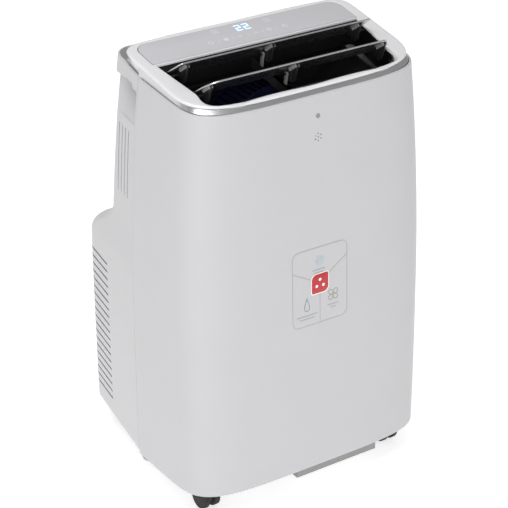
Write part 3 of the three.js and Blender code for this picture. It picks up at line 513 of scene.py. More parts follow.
def even_angles(power, count, corner=0.35):
    """Angles round half a superellipse, spread by the length of its line plus a share for its turning."""
    angle = np.linspace(0, math.pi, 6001)
    x = bend(-np.cos(angle), power)
    y = bend(np.sin(angle), power)
    heading = np.unwrap(np.arctan2(np.gradient(y), np.gradient(x)))
    travel = np.hypot(np.diff(x), 0.6 * np.diff(y)) + corner * np.abs(np.diff(heading))
    travel = np.concatenate([[0], np.cumsum(travel)])
    return np.interp(np.linspace(0, travel[-1], count), travel, angle)


def roll(distance, radius):
    """How far a rolled edge draws in at a distance from the edge."""
    return radius - np.sqrt(np.maximum(0, radius**2 - np.maximum(0, radius - distance)**2))


def edge_steps(length, radius, count, steps=6):
    """Places along a length, close together inside a rolled edge at both ends."""
    turn = radius * (1 - np.cos(np.linspace(0, math.pi / 2, steps + 1)))
    return np.concatenate([turn, np.linspace(radius, length - radius, count)[1:-1], length - turn[::-1]])


def drawn_in(grid, depth):
    """A grid moved along its own normals; columns run one way and rows the other."""
    normal = np.cross(np.gradient(grid, axis=1), np.gradient(grid, axis=0))
    normal /= np.linalg.norm(normal, axis=-1, keepdims=True)
    return grid - normal * depth[..., None]


def smooth(value):
    """Rises from 0 to 1 with level ends."""
    value = np.clip(value, 0, 1)
    return value * value * (3 - 2 * value)


angles = even_angles(2 / squareness, 130)
straight = seam_y - crown_y - edge_steps(seam_y - crown_y, seam_radius, 10, 9)[:-1]
share_up = edge_steps(1.0, 0.004, 64)[:, None]


def front_grid():
    """The front shell's outer face: half a superellipse in plan at each height, carried straight to the seam."""
    level = lower_edge + share_up * (rim_z(crown_y) - lower_edge)
    across = np.concatenate([-np.ones(len(straight)), bend(-np.cos(angles), 2 / squareness), np.ones(len(straight))])
    x = half_width(level) * across
    y = crown_y - (crown_y - face_y(level)) * np.sin(np.clip(angles, 1e-9, math.pi - 1e-9))**(2 / squareness)
    side_y = np.tile(crown_y + straight, (len(level), 1))
    y = np.concatenate([side_y, y, side_y[:, ::-1]], 1)
    z = lower_edge + share_up * (rim_z(y) - lower_edge)
    return np.stack([x, y, z], -1)


outer = front_grid()
to_edge = np.minimum(np.abs(outer[..., 2] - lower_edge), np.abs(rim_z(outer[..., 1]) - outer[..., 2]))
# The roll into the seam is a tenth of a full one low down, and four tenths beside the upper back.
seam_turn = roll(seam_y - outer[..., 1], seam_radius) * (0.1 + 0.3 * smooth((outer[..., 2] - 400 * MM) / (60 * MM)))
front_form = walled(drawn_in(outer, roll(to_edge, edge_radius) + seam_turn), drawn_in(outer, wall + seam_turn))
front_cover = make("front_cover", [front_form], shell_white, "root", "white_casing", ["front_shell"])


def carved(piece, forms, crease=32):
    """Cut closed forms out of a piece and keep the result as its mesh."""
    tool = make("tool", forms, None)
    cut = piece.modifiers.new("cut", "BOOLEAN")
    cut.operation = "DIFFERENCE"
    cut.solver = "EXACT"
    cut.object = tool
    result = bpy.data.meshes.new_from_object(piece.evaluated_get(bpy.context.evaluated_depsgraph_get()))
    piece.modifiers.clear()
    piece.data = result
    bpy.data.objects.remove(tool)
    result.set_sharp_from_angle(angle=math.radians(crease))


# Seven small holes for the remote control's receiver, six round one.
receiver_z = 592 * MM
around = np.radians(np.arange(6) * 60 + 30)
hole_x = np.append(5.4 * MM * np.cos(around), 0)
hole_z = np.append(5.4 * MM * np.sin(around), 0) + receiver_z
hole = np.array([[1.15, -6], [1.15, 8]]) * MM
carved(front_cover, [lofted(spun(hole, "y", (x, face_y(z), z), 16)) for x, z in zip(hole_x, hole_z)])

# A small plain disc is printed above the holes.
print_grey = moulded("print_grey", grey(0.25), 0.5)
disc_z = 624 * MM
disc = np.array([[3.4, 0.4], [3.4, -0.12]]) * MM
make("front_disc_mark", [lofted(spun(disc, "y", (0, face_y(disc_z), disc_z), 40))], print_grey, "root",
     "black_plastic")

# ---- Rear shell ----------------------------------------------------------------------------------
# The rear moulding starts flush with the front shell at the seam, steps in above the bulge, and ends in
# an overhanging lip under the rim. A hand grip is scooped into each side under the lip.
rear_low, rear_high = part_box("rear_shell")
back_y = rear_high.y
rear_seam = rear_low.y
upper_back = front_y + 277 * MM
rim_top = rim_z(upper_back)
lip_z = rim_top - 28 * MM
bulge_top = 350 * MM
shoulder = 85 * MM
back_lean = 0.065


def rear_plan(z):
    """Sizes of the rear plan at a height: half width at the seam, taper, place of the back and corner radius."""
    share = (1 + np.cos(math.pi * np.clip((z - bulge_top) / shoulder, 0, 1))) / 2
    lip = smooth((z - lip_z) / (2.4 * MM) + 0.5)
    taper = np.radians(10 - 2 * lip)
    step = (1 - lip) * (0.5 * MM + (1 - share) * 4.5 * MM) + lip * 1.0 * MM
    wall_back = upper_back + back_lean * (rim_top - z)
    back = wall_back + share * (back_y - wall_back)
    return half_width(z) - step, taper, back, (28 + share * 17) * MM


side_share = edge_steps(1.0, 0.016, 44)[:-7]
arc_share = np.linspace(0, 1, 17)
back_share = np.linspace(1, -1, 31)[1:-1]


def rear_grid(levels):
    """The rear shell's outer face: at each height a straight tapered side, an arc, and the back."""
    half, taper, back, radius = rear_plan(levels[:, None])
    centre_y = back - radius
    centre_x = half - np.tan(taper) * (centre_y - seam_y) - radius / np.cos(taper)
    turn = taper + arc_share * (math.pi / 2 - taper)
    arc_x = centre_x + radius * np.cos(turn)
    arc_y = centre_y + radius * np.sin(turn)
    side_y = rear_seam + side_share * (arc_y[:, :1] - rear_seam)
    side_x = half - np.tan(taper) * (side_y - seam_y)
    flat_x = centre_x * back_share
    flat_y = np.broadcast_to(back, flat_x.shape)
    x = np.concatenate([side_x, arc_x, flat_x, -arc_x[:, ::-1], -side_x[:, ::-1]], 1)
    y = np.concatenate([side_y, arc_y, flat_y, arc_y[:, ::-1], side_y[:, ::-1]], 1)
    rise = smooth((levels - 600 * MM) / (rim_top - 600 * MM))[:, None]
    z = levels[:, None] + rise * (rim_z(y) - rim_top)
    return np.stack([x, y, z], -1)


def spaced(start, stop, step):
    """Heights from start up to stop, no further apart than a step."""
    return np.linspace(start, stop, max(2, math.ceil((stop - start) / step) + 1))[:-1]


grip_low = 592 * MM
stops = [rear_low.z + edge_radius, 340 * MM, 435 * MM, grip_low - 3 * MM, grip_low + 6 * MM, lip_z - 4 * MM,
         lip_z + 4 * MM, rim_top - edge_radius]
steps = [9, 3.2, 8, 0.9, 3, 0.4, 3]
levels = np.concatenate(
    [rear_low.z + edge_radius * (1 - np.cos(np.linspace(0, math.pi / 2, 6)))[:-1]]
    + [spaced(start, stop, step * MM) for start, stop, step in zip(stops, stops[1:], steps)]
    + [rim_top - edge_radius * (1 - np.cos(np.linspace(math.pi / 2, 0, 7)))])


def grip_depth(x, y, z):
    """Depth of the hand grip: a slope that starts at its lower edge, deepest under the lip, with a steep front
    edge whose top corner is round, fading out round the rear corner."""
    up = np.clip((z - grip_low) / (lip_z - grip_low), 0, 1)
    corner = np.clip((z - (lip_z - 22 * MM)) / (22 * MM), 0, 1)
    front = seam_y + 11 * MM + 16 * MM * (1 - np.sqrt(1 - corner**2 * 0.98))
    sharp = smooth((y - front) / (3.5 * MM))
    fade = 1 - 0.95 * smooth((y - 30 * MM) / (40 * MM))
    on_side = smooth((np.abs(x) - 120 * MM) / (30 * MM))
    under_lip = 1 - smooth((z - lip_z) / (2.4 * MM) + 0.9)
    start = smooth((z - grip_low) / (5 * MM)) * 1.2 * MM
    return (start + 20 * MM * up**1.25) * sharp * fade * on_side * under_lip


outer = rear_grid(levels)
x, y, z = outer[..., 0], outer[..., 1], outer[..., 2]
to_edge = np.minimum(np.abs(z - rear_low.z), np.abs(rim_z(y) - z))
rolled = np.minimum(roll(to_edge, edge_radius) + roll(y - rear_seam, 0.8 * MM), 2.4 * MM)
dented = outer.copy()
dented[..., 0] -= np.sign(x) * grip_depth(x, y, z)

rear_form = walled(drawn_in(dented, rolled), drawn_in(dented, np.full(x.shape, wall)))
rear_cover = make("rear_cover", [rear_form], shell_white, "root", "white_casing", ["rear_shell"])

# Air slots, round holes and the grille's window are cut through the rear shell.
slot_pitch = 13.5 * MM
slot_half = 1.8 * MM
side_slot_y = (back_y - 98 * MM, back_y - 14 * MM)
back_slot_x = (94 * MM, 132 * MM)
fan_z = 206 * MM
collar_radius = 78 * MM
grille_middle = 527 * MM
grille_size = (268 * MM, 146 * MM)


def pill(low, high, half):
    """Outline of a long slot with round ends, along the first of two axes and centred on the second."""
    turn = np.linspace(-math.pi / 2, math.pi / 2, 7)
    right = np.stack([high - half + half * np.cos(turn), half * np.sin(turn)], 1)
    left = np.stack([low + half - half * np.cos(turn), -half * np.sin(turn)], 1)
    return np.concatenate([right, left])


def through(outline, axes, start, stop):
    """A flat outline in two of the axes x, y and z (0, 1, 2) pulled along the third from start to stop."""
    rings = np.zeros((2, len(outline), 3))
    rings[:, :, axes[0]] = outline[:, 0]
    rings[:, :, axes[1]] = outline[:, 1]
    rings[:, :, 3 - axes[0] - axes[1]] = np.array([[start], [stop]])
    return lofted(rings)


def rounded(corners, radii, steps=8):
    """A polygon whose corners are arcs of the given radii, each cut short where its sides are short."""
    corners = np.array(corners, float)
    outline = []
    for i, radius in enumerate(radii):
        here = corners[i]
        before = corners[i - 1] - here
        after = corners[(i + 1) % len(corners)] - here
        reach = 0.49 * min(np.linalg.norm(before), np.linalg.norm(after))
        before /= np.linalg.norm(before)
        after /= np.linalg.norm(after)
        half = math.acos(np.clip(before @ after, -1, 1)) / 2
        run = min(radius / math.tan(half), reach)
        middle = before + after
        centre = here + middle / np.linalg.norm(middle) * run / math.cos(half)
        first = here + before * run - centre
        last = here + after * run - centre
        sweep = math.atan2(first[0] * last[1] - first[1] * last[0], first @ last)
        turn = np.linspace(0, sweep, steps + 1)
        outline.append(centre + np.stack([first[0] * np.cos(turn) - first[1] * np.sin(turn),
                                          first[0] * np.sin(turn) + first[1] * np.cos(turn)], 1))
    return np.concatenate(outline)


def tapered(low, half_low, high, half_high, radii, steps=8):
    """A four-sided outline with rounded corners, as wide as given at its low and its high end."""
    return rounded([(-half_low, low), (half_low, low), (half_high, high), (-half_high, high)], radii, steps)


def box_outline(half_x, half_y, radius, steps=6):
    return tapered(-half_y, half_x, half_y, half_x, [radius] * 4, steps)


def on_back(points):
    """Points with x across, the second value up the leaning upper back and the third out of it."""
    lean = math.atan(back_lean)
    x, up, out = points[..., 0], points[..., 1], points[..., 2]
    y = upper_back + back_lean * (rim_top - grille_middle) - up * math.sin(lean) + out * math.cos(lean)
    z = grille_middle + up * math.cos(lean) + out * math.sin(lean)
    return np.stack([x, y, z], -1)


def inward(outline):
    """Unit steps into a closed outline at each of its points."""
    along = np.roll(outline, -1, 0) - np.roll(outline, 1, 0)
    return np.stack([-along[:, 1], along[:, 0]], 1) / np.linalg.norm(along, axis=1, keepdims=True)


def plate(outline, low, high, edge, steps=4, facing="z", place=(0, 0, 0)):
    """A plate between two heights along the axis it faces, its outline drawn in along quarter circles at the rims."""
    turn = np.linspace(0, math.pi / 2, steps + 1)
    depth = np.concatenate([edge * (1 - np.sin(turn)), edge * (1 - np.cos(turn))])
    height = np.concatenate([low + edge * (1 - np.cos(turn)), high - edge * (1 - np.sin(turn))])
    flat = outline + depth[:, None, None] * inward(outline)
    rings = np.concatenate([flat, np.broadcast_to(height[:, None, None], flat.shape[:2] + (1,))], 2)
    return lofted(rings[..., {"x": [2, 0, 1], "y": [0, 2, 1], "z": [0, 1, 2]}[facing]] + np.array(place))


def placed(forms, placing):
    """Forms whose points are placed by a function."""
    return [(placing(points), faces) for points, faces in forms]


slot_cuts = []
for row in range(19):
    slot_z = 81 * MM + row * slot_pitch
    for side in (-1, 1):
        side_outline = pill(*side_slot_y, slot_half) + (0, slot_z)
        slot_cuts.append(through(side_outline, (1, 2), side * 153 * MM, side * 230 * MM))
        back_outline = pill(*back_slot_x, slot_half) * (side, 1) + (0, slot_z)
        slot_cuts.append(through(back_outline, (0, 2), back_y - 6 * MM, back_y + 6 * MM))
for row in range(4):
    slot_y = seam_y + 33 * MM + row * 12.5 * MM
    upright = pill(470 * MM, 578 * MM, 1.3 * MM)[:, ::-1] + (slot_y, 0)
    for side in (-1, 1):
        slot_cuts.append(through(upright, (1, 2), side * 140 * MM, side * 230 * MM))
window = box_outline(grille_size[0] / 2 + 0.4 * MM, grille_size[1] / 2 + 0.4 * MM, 8 * MM)
window_cut = placed([through(window, (0, 1), -12 * MM, 12 * MM)], on_back)
round_holes = [((0, fan_z), collar_radius + 0.8 * MM, 96)]
cap_z = (86 * MM, bulge_top - 28 * MM)
gland_place = (56 * MM, 86 * MM)
round_holes += [((-50 * MM, z), 13.4 * MM, 40) for z in cap_z] + [(gland_place, 8.4 * MM, 32)]
round_holes += [((x, 59 * MM), 3.4 * MM, 20) for x in (-90 * MM, 90 * MM)]
bores = []
for (hole_x, hole_z), radius, sides in round_holes:
    drill = np.array([[radius, -12 * MM], [radius, 12 * MM]])
    bores.append(lofted(spun(drill, "y", (hole_x, back_y, hole_z), sides)))
carved(rear_cover, slot_cuts + window_cut + bores)

# ---- Exhaust port --------------------------------------------------------------------------------
# A black round collar for a 150 mm hose comes out flush with the back. Its flange is hidden inside.
port_black = moulded("port_black", grey(0.014), 0.45, grain=0.8 * MM, depth=0.03 * MM)
collar_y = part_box("exhaust_collar")[1].y
sleeve = np.array([[78, 0], [78, -1.2], [77.2, -2], [77, -36], [75, -36], [75.2, -2.4], [75.6, -0.6], [76.2, 0]]) * MM
flange = np.array([[91, -34], [91, -36.5], [75.4, -36.5], [75.4, -34]]) * MM
ribs = [np.array([[75.4, rib], [75.4, rib - 2], [73.6, rib - 1.6], [73.6, rib - 0.4]]) * MM for rib in (-8, -22)]
ports = [hooped(spun(part, "y", (0, collar_y, fan_z), 128)) for part in [sleeve, flange] + ribs]
guard_y = collar_y - 34.5 * MM
guard_radius = 75.3 * MM
guard_pitch = 15 * MM
for row in range(-4, 5):
    guard_bar = box_outline(math.sqrt(guard_radius**2 - (guard_pitch * row)**2), 1 * MM, 0.9 * MM)
    middle = (0, guard_y, fan_z + guard_pitch * row)
    ports.append(plate(guard_bar, -1.3 * MM, 1.3 * MM, 0.5 * MM, 4, "y", middle))
spine = box_outline(1.5 * MM, guard_radius, 1 * MM)
ports.append(plate(spine, -1 * MM, 1 * MM, 0.4 * MM, 4, "y", (0, guard_y, fan_z)))
make("exhaust_port", ports, port_black, "root", "black_plastic", ["exhaust_collar"])

# ---- Drain caps, cord gland and screws -----------------------------------------------------------
# Two rubber caps with a finger bar close the drains, a black gland holds the cord's place, and the four
# casing screws are cross-headed.
cap_black = moulded("cap_black", grey(0.02), 0.7, grain=0.8 * MM)
screw_zinc = painted("screw_zinc", (0.5, 0.51, 0.52, 1), 0.3, 1.0)
for name, z in zip(("lower", "upper"), cap_z):
    centre = (-50 * MM, back_y, z)
    disc = np.array([[0.1, -5.8], [12.4, -5.8], [13, -5.2], [13, -0.8], [12.2, -0.1], [10.4, -0.1], [9.8, -1.6],
                     [0.1, -1.6]]) * MM
    plug = np.array([[7, -22], [7, -5]]) * MM
    bar = plate(box_outline(2 * MM, 9.6 * MM, 1 * MM), -2 * MM, -0.1 * MM, 0.5 * MM, 4, "y", centre)
    make("drain_plug_" + name, [lofted(spun(disc, "y", centre)), lofted(spun(plug, "y", centre, 32)), bar],
         cap_black, "drain_cap_" + name, "rubber", ["drain_cap_" + name])
gland_end = (gland_place[0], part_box("cord_gland")[1].y, gland_place[1])
gland_profile = np.array([[8, -14], [8, -1], [7.2, -0.2], [4.6, -0.2], [4, -1], [4, -14]]) * MM
make("cord_bush", [hooped(spun(gland_profile, "y", gland_end, 40))], cap_black, "root", "black_plastic",
     ["cord_gland"])
for number in range(1, 5):
    screw_low, screw_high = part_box(f"casing_screw_{number}")
    middle = np.array((screw_low + screw_high) / 2)
    on_side = screw_high.x - screw_low.x > screw_high.y - screw_low.y
    axis = "x" if on_side else "y"
    out = np.sign(middle[0]) if on_side else 1
    reach = (screw_high.x - screw_low.x) / 2 if on_side else (screw_high.y - screw_low.y) / 2
    screw = np.array([[0.1 * MM, -reach], [1.9 * MM, -reach], [2 * MM, reach - 2 * MM], [3 * MM, reach - 1.6 * MM],
                      [2.6 * MM, reach - 0.4 * MM], [1.6 * MM, reach], [0.1 * MM, reach]])
    screw[:, 1] *= out
    make(f"cross_screw_{number}", [lofted(spun(screw, axis, middle, 32))], screw_zinc, "root", "zinc_plate",
         [f"casing_screw_{number}"])

# ---- Upper grille and filter ----------------------------------------------------------------------
# The intake grille in the leaning upper back carries a net filter in a light frame, and both lift out
# together.
grille_outline = box_outline(grille_size[0] / 2, grille_size[1] / 2, 8 * MM)
grille = make("intake_grille", placed([plate(grille_outline, -wall, 0, 0.8 * MM)], on_back), shell_white,
              "filter_cassette", "white_casing", ["upper_grille"])
slots = []
for column in range(18):
    x = (column - 8.5) * slot_pitch
    upright = pill(-62 * MM, 62 * MM, slot_half)[:, ::-1] + (x, 0)
    slots.append(through(upright, (0, 1), -9 * MM, 9 * MM))
carved(grille, placed(slots, on_back))


def woven(name, colour, pitch):
    """A net of crossed threads: two sets of bands, with painted shade in the holes between them for the unlit inside
    behind the net.
    """
    paint = Paint(name, Roughness=0.8)
    sizes = {"Vector": paint.place(), "Scale": 0.314 / pitch}
    bands = [paint.node("ShaderNodeTexWave", {"wave_type": "BANDS", "bands_direction": way}, sizes) for way in "XZ"]
    thread = paint.node("ShaderNodeMath", {"operation": "MAXIMUM"}, dict(enumerate(bands)))
    # The dark between the threads, down to 0.15 of the colour, is painted shade for the holes.
    paint.set(Base_Color=paint.blend(thread**3.0, shaded(colour, 0.15), colour))
    paint.relief(thread, 0.2 * MM)
    return paint.material


finished("air_filter", woven("filter_net", grey(0.25), 1.6 * MM))

# ---- Trim band -----------------------------------------------------------------------------------
# A satin silver band stands inside the casing's rim and leans in to the underside of the white bezel.


def plated(name, colour, gloss):
    """Satin plating: a faint lengthwise grain under a clear gloss."""
    paint = Paint(name, Metallic=1.0)
    drift = paint.noise(60 * MM, 3.0)
    grain = paint.noise(0.8 * MM, 2.0, (0.08, 0.08, 1))
    paint.set(Base_Color=paint.blend(drift, shaded(colour, 0.94), shaded(colour, 1.04)))
    paint.set(Roughness=gloss + (grain - 0.5) * 0.12)
    paint.relief(grain, 0.01 * MM)
    return paint.material


silver = plated("silver_plating", (0.6, 0.6, 0.61, 1), 0.32)
rim_half = half_width(rim_z(crown_y))
gap = 0.4 * MM
bezel_powers = (4.1, 10.9)


def squared_oval(half, front, back, front_power, back_power, angle):
    """Points of two half superellipses that share the crown line, found along rays from its middle."""
    along = np.cos(angle)
    away = np.sin(angle)
    power = np.where(away < 0, front_power, back_power)
    depth = np.where(away < 0, crown_y - front, back - crown_y)
    reach = (np.abs(along / half)**power + np.abs(away / depth)**power)**(-1 / power)
    return np.stack([reach * along, crown_y + reach * away], -1)


def ray_angles(count):
    """Angles of rays from the crown's middle, closer together towards the four corners."""
    outline = box_outline(rim_half, 100 * MM, 60 * MM, 40)
    step = np.linalg.norm(np.roll(outline, -1, 0) - outline, axis=1)
    travel = np.concatenate([[0], np.cumsum(step)])
    closed = np.concatenate([outline, outline[:1]])
    spots = np.linspace(0, travel[-1], count, endpoint=False)
    x = np.interp(spots, travel, closed[:, 0])
    y = np.interp(spots, travel, closed[:, 1])
    return np.arctan2(y, x)


rays = ray_angles(420)


def finer(outline, step):
    """An outline with more points along its straight stretches."""
    closed = np.concatenate([outline, outline[:1]])
    length = np.concatenate([[0], np.cumsum(np.linalg.norm(np.diff(closed, axis=0), axis=1))])
    spots = np.unique(np.concatenate([length, np.arange(0, length[-1], step)]))[:-1]
    return np.stack([np.interp(spots, length, closed[:, k]) for k in (0, 1)], 1)


def rim_line(inset):
    """The casing's inside line at the rim on the same rays: front curve, tapered sides and round rear corners."""
    half, taper, back, radius = (float(value) for value in rear_plan(rim_top))
    inset = inset + wall + gap
    front = squared_oval(rim_half - inset, face_y(rim_z(crown_y)) + inset, crown_y + 1, squareness, 90, rays)
    at_seam = half - inset / math.cos(taper)
    foot = at_seam - math.tan(taper) * (back - inset - seam_y)
    beside = rim_half - inset
    right = [(beside, crown_y), (beside, seam_y), (at_seam, seam_y + 1 * MM), (foot, back - inset)]
    left = [(-x, y) for x, y in right[::-1]]
    small = [0.1 * MM] * 3
    rear = finer(rounded(right + left, small + [radius - inset] * 2 + small, 14), 4 * MM)
    rear = rear[rear[:, 1] > crown_y + 0.2 * MM]
    angle = np.arctan2(rear[:, 1] - crown_y, rear[:, 0])
    order = np.argsort(angle)
    reach = np.interp(rays, angle[order], np.hypot(rear[:, 0], rear[:, 1] - crown_y)[order])
    behind = np.stack([reach * np.cos(rays), crown_y + reach * np.sin(rays)], -1)
    return np.where((front[:, 1] > crown_y + 1 * MM)[:, None], behind, front)


def band_face(inset):
    """Rings up the band's face: upright inside the rim, then straight to the underside of the bezel's edge."""
    low = rim_line(inset)
    top = squared_oval(rim_half - 3.6 * MM - inset, bezel_start + 8.6 * MM + inset, bezel_high.y - 3 * MM - inset,
                       *bezel_powers, rays)
    rings = [np.concatenate([low, rim_z(low[:, 1:]) - (7 - 1.2 * step) * MM - inset], 1) for step in range(7)]
    start = np.concatenate([low, rim_z(low[:, 1:]) + 0.3 * MM - inset], 1)
    end = np.concatenate([top, bezel_z(top[:, 1:]) - 4.2 * MM - inset * (inset < 1)], 1)
    return np.stack(rings + [start + (end - start) * share for share in np.linspace(0, 1, 12)])


make("silver_band", [walled(band_face(0), band_face(2.5 * MM), True)], silver, "root", "silver_band", ["trim_band"])

# ---- Top bezel -----------------------------------------------------------------------------------
# The glossy white bezel frames the control panel and the air outlet in one moulding. Its front edge is a
# broad roll that runs down into the duct.
gloss_white = moulded("gloss_white", (0.76, 0.76, 0.772, 1), 0.2, grain=2 * MM, depth=0.004 * MM, Coat_Weight=0.5,
                      Coat_Roughness=0.08)
to_slope = 1 / math.cos(slope)
outlet_front = bezel_start * to_slope + 23 * MM
outlet_depth = 126 * MM
outlet_rear = outlet_front + outlet_depth
panel_front = outlet_rear + 4 * MM
panel_depth = 57 * MM
panel_half = 180 * MM
panel_corner = 20 * MM


def outlet_half(u):
    """Half width of the outlet at a place up the slope: it splays towards the back."""
    return (324 * MM + 30 * MM * (u - outlet_front) / outlet_depth) / 2


def on_slope(points):
    """Points with x across, the second value up the slope and the third out of it."""
    x, up, out = points[..., 0], points[..., 1], points[..., 2]
    y = up * math.cos(slope) - out * math.sin(slope)
    z = bezel_z(0) + up * math.sin(slope) + out * math.cos(slope)
    return np.stack([x, y, z], -1)


def outlet_outline(grow, steps=12):
    """The outlet on the slope, grown by a margin: round front corners and small rear ones."""
    return tapered(outlet_front - grow, outlet_half(outlet_front) + grow, outlet_rear + grow,
                   outlet_half(outlet_rear) + grow, [28 * MM + grow] * 2 + [8 * MM + grow] * 2, steps)


bezel_edge = squared_oval(rim_half - 2 * MM, bezel_low.y, bezel_high.y, *bezel_powers, rays) * (1, to_slope)
right = [(outlet_half(outlet_front), outlet_front), (outlet_half(outlet_rear), outlet_rear),
         (panel_half + gap, panel_front), (panel_half + gap, panel_front + panel_depth + gap)]
radii = [28 * MM, 2 * MM, 2 * MM, panel_corner + gap]
inside_line = rounded(right + [(-x, up) for x, up in right[::-1]], radii + radii[::-1], 16)


def along_rays(outline, edge):
    """Where the rays to the points of an outer edge cross an outline, measured from the crown's middle."""
    middle = np.array([0, crown_y * to_slope])
    angle = np.arctan2(*(outline - middle).T[::-1])
    order = np.argsort(angle)
    wanted = np.arctan2(*(edge - middle).T[::-1])
    turned = np.concatenate([angle[order] - 2 * math.pi, angle[order], angle[order] + 2 * math.pi])
    points = np.tile(outline[order], (3, 1))
    return np.stack([np.interp(wanted, turned, points[:, 0]), np.interp(wanted, turned, points[:, 1])], 1)


bezel_inside = along_rays(inside_line, bezel_edge)
at_front = 1 - smooth((bezel_inside[:, 1] - outlet_front - 6 * MM) / (34 * MM))


def bezel_section():
    """The bezel's section at each ray: up round the outer edge, across, and down the inner roll, whose radius
    grows from 1.5 mm at the sides to a broad one at the front; then back underneath."""
    span = bezel_inside - bezel_edge
    width = np.linalg.norm(span, axis=1, keepdims=True)
    span /= width
    edge = 3.4 * MM
    underside = -3.9 * MM
    reach = (1.5 + 10.5 * at_front)[:, None] * MM
    drop = (3.2 + 22 * at_front)[:, None] * MM
    section = [(edge * (1 - math.cos(turn)), -edge * (1 - math.sin(turn))) for turn in np.linspace(0, math.pi / 2, 7)]
    section += [(edge + share * (width - reach - edge), 0) for share in (0.25, 0.5, 0.75)]
    section += [(width - reach + reach * math.sin(turn), -drop * (1 - math.cos(turn)))
                for turn in np.linspace(0, math.pi / 2, 11)]
    section += [(width - 1.6 * MM, -drop), (width - reach - 1 * MM, underside), (3 * MM, underside)]
    return on_slope(np.stack([np.concatenate([bezel_edge + span * across, np.broadcast_to(height, width.shape)], 1)
                              for across, height in section]))


bar_half = outlet_half(outlet_rear) + 1.5 * MM
bar = plate(tapered(outlet_rear, bar_half, panel_front - gap, bar_half, [0.5 * MM] * 4, 3), -4 * MM, -0.02 * MM,
            0.8 * MM)
make("white_bezel", [hooped(bezel_section())] + placed([bar], on_slope), gloss_white, "root", "white_bezel",
     ["top_bezel"])

# ---- Control panel -------------------------------------------------------------------------------
# A satin grey touch plate lies in the bezel with a hairline gap. White marks are printed on it, and two
# blue-white digits glow through it.
panel_grey = moulded("panel_grey", (0.56, 0.555, 0.58, 1), 0.3, grain=0.4 * MM, depth=0.004 * MM, Coat_Weight=0.3)
panel_line = tapered(panel_front, panel_half, panel_front + panel_depth, panel_half,
                     [3 * MM] * 2 + [panel_corner] * 2, 12)
make("touch_plate", placed([plate(panel_line, -1.6 * MM, 0, 0.35 * MM)], on_slope), panel_grey, "root", "grey_panel",
     ["control_panel"])

mark_white = moulded("mark_white", (0.8, 0.81, 0.83, 1), 0.5)
digit_glow = Paint("digit_glow", Emission_Strength=1.6)
flicker = digit_glow.noise(3 * MM, 1.0)
digit_glow.set(Base_Color=digit_glow.blend(flicker, (0.25, 0.4, 0.7, 1), (0.35, 0.5, 0.8, 1)))
digit_glow.set(Emission_Color=digit_glow.blend(flicker, (0.35, 0.55, 1, 1), (0.5, 0.68, 1, 1)))
print_height = 0.06 * MM


def strokes(lines, width, base=0.0):
    """Printed lines as thin raised plates: each runs between two points in millimetres above a base height."""
    forms = []
    for line in lines:
        start, end = np.array(line).reshape(2, 2) * MM + (0, base)
        length = np.hypot(*(end - start))
        along = (end - start) / length
        across = np.array([-along[1], along[0]])
        outline = pill(-width / 2, length + width / 2, width / 2)
        flat = start + outline[:, :1] * along + outline[:, 1:] * across
        forms.append(plate(flat, -print_height, print_height, 0.01 * MM, 1))
    return forms


def star(x, y, half):
    """End points of three lines that cross at a point."""
    tips = [(half * math.cos(turn), half * math.sin(turn)) for turn in np.radians((0, 60, 120))]
    return [(x - right, y - up, x + right, y + up) for right, up in tips]


digits_u = panel_front + 35 * MM
glowing = []
for left in (-12, 2):
    right = left + 8
    glowing += strokes([(left, 14, right, 14), (right, 7, right, 14), (left, 7, right, 7), (left, 0, left, 7),
                        (left, 0, right, 0)], 2 * MM, digits_u)
make("display_digits", placed(glowing, on_slope), digit_glow.material, "root", "grey_panel")

icons_u = panel_front + 20 * MM
small_u = panel_front + 46 * MM
icon_width = 0.8 * MM
ring = np.array([[4 * MM, -print_height], [4 * MM, print_height], [4 * MM - icon_width, print_height],
                 [4 * MM - icon_width, -print_height]])
printed = [hooped(spun(ring, "z", (x * MM, icons_u, 0), 28)) for x in (-70, -43, 33, 61)]
icon_lines = star(-43, 0, 4) + [(61, 0, 61, 4.6), (33, 0, 33, 2.6), (33, 0, 35, 0)]
for x, tip in ((-19, -1), (9, 1)):
    icon_lines += [(x - 3.4, -1.6 * tip, x, 1.8 * tip), (x, 1.8 * tip, x + 3.4, -1.6 * tip)]
printed += strokes(icon_lines, icon_width, icons_u)
printed += strokes([(x, -4, x, 4) for x in (-56, -31, -5, 21, 47)], 0.5 * MM, icons_u)
printed += strokes([(x - 6, up, x + 5, up) for x in (-46, 46) for up in (-4, 0, 4)], 0.7 * MM, small_u)
make("touch_marks", placed(printed, on_slope), mark_white, "root", "grey_panel")

# ---- Outlet duct ---------------------------------------------------------------------------------
# The duct is a black sleeve from the bezel down to the blower's scroll. A rib across its middle carries
# the louvers' inner pins on two posts.
duct_black = moulded("duct_black", grey(0.008), 0.42, grain=1 * MM, depth=0.02 * MM)
duct_top = -5 * MM
duct_low = -44 * MM


def duct_ring(grow, height):
    flat = outlet_outline(grow, 14)
    return np.concatenate([flat, np.full((len(flat), 1), height)], 1)


duct_heights = np.linspace(duct_low, duct_top, 7)
duct_outer = on_slope(np.stack([duct_ring(2.4 * MM, height) for height in duct_heights]))
duct_inner = on_slope(np.stack([duct_ring(0, height) for height in duct_heights]))
make("duct_sleeve", [walled(duct_outer, duct_inner, True)], duct_black, "root", "black_plastic", ["outlet_duct"])

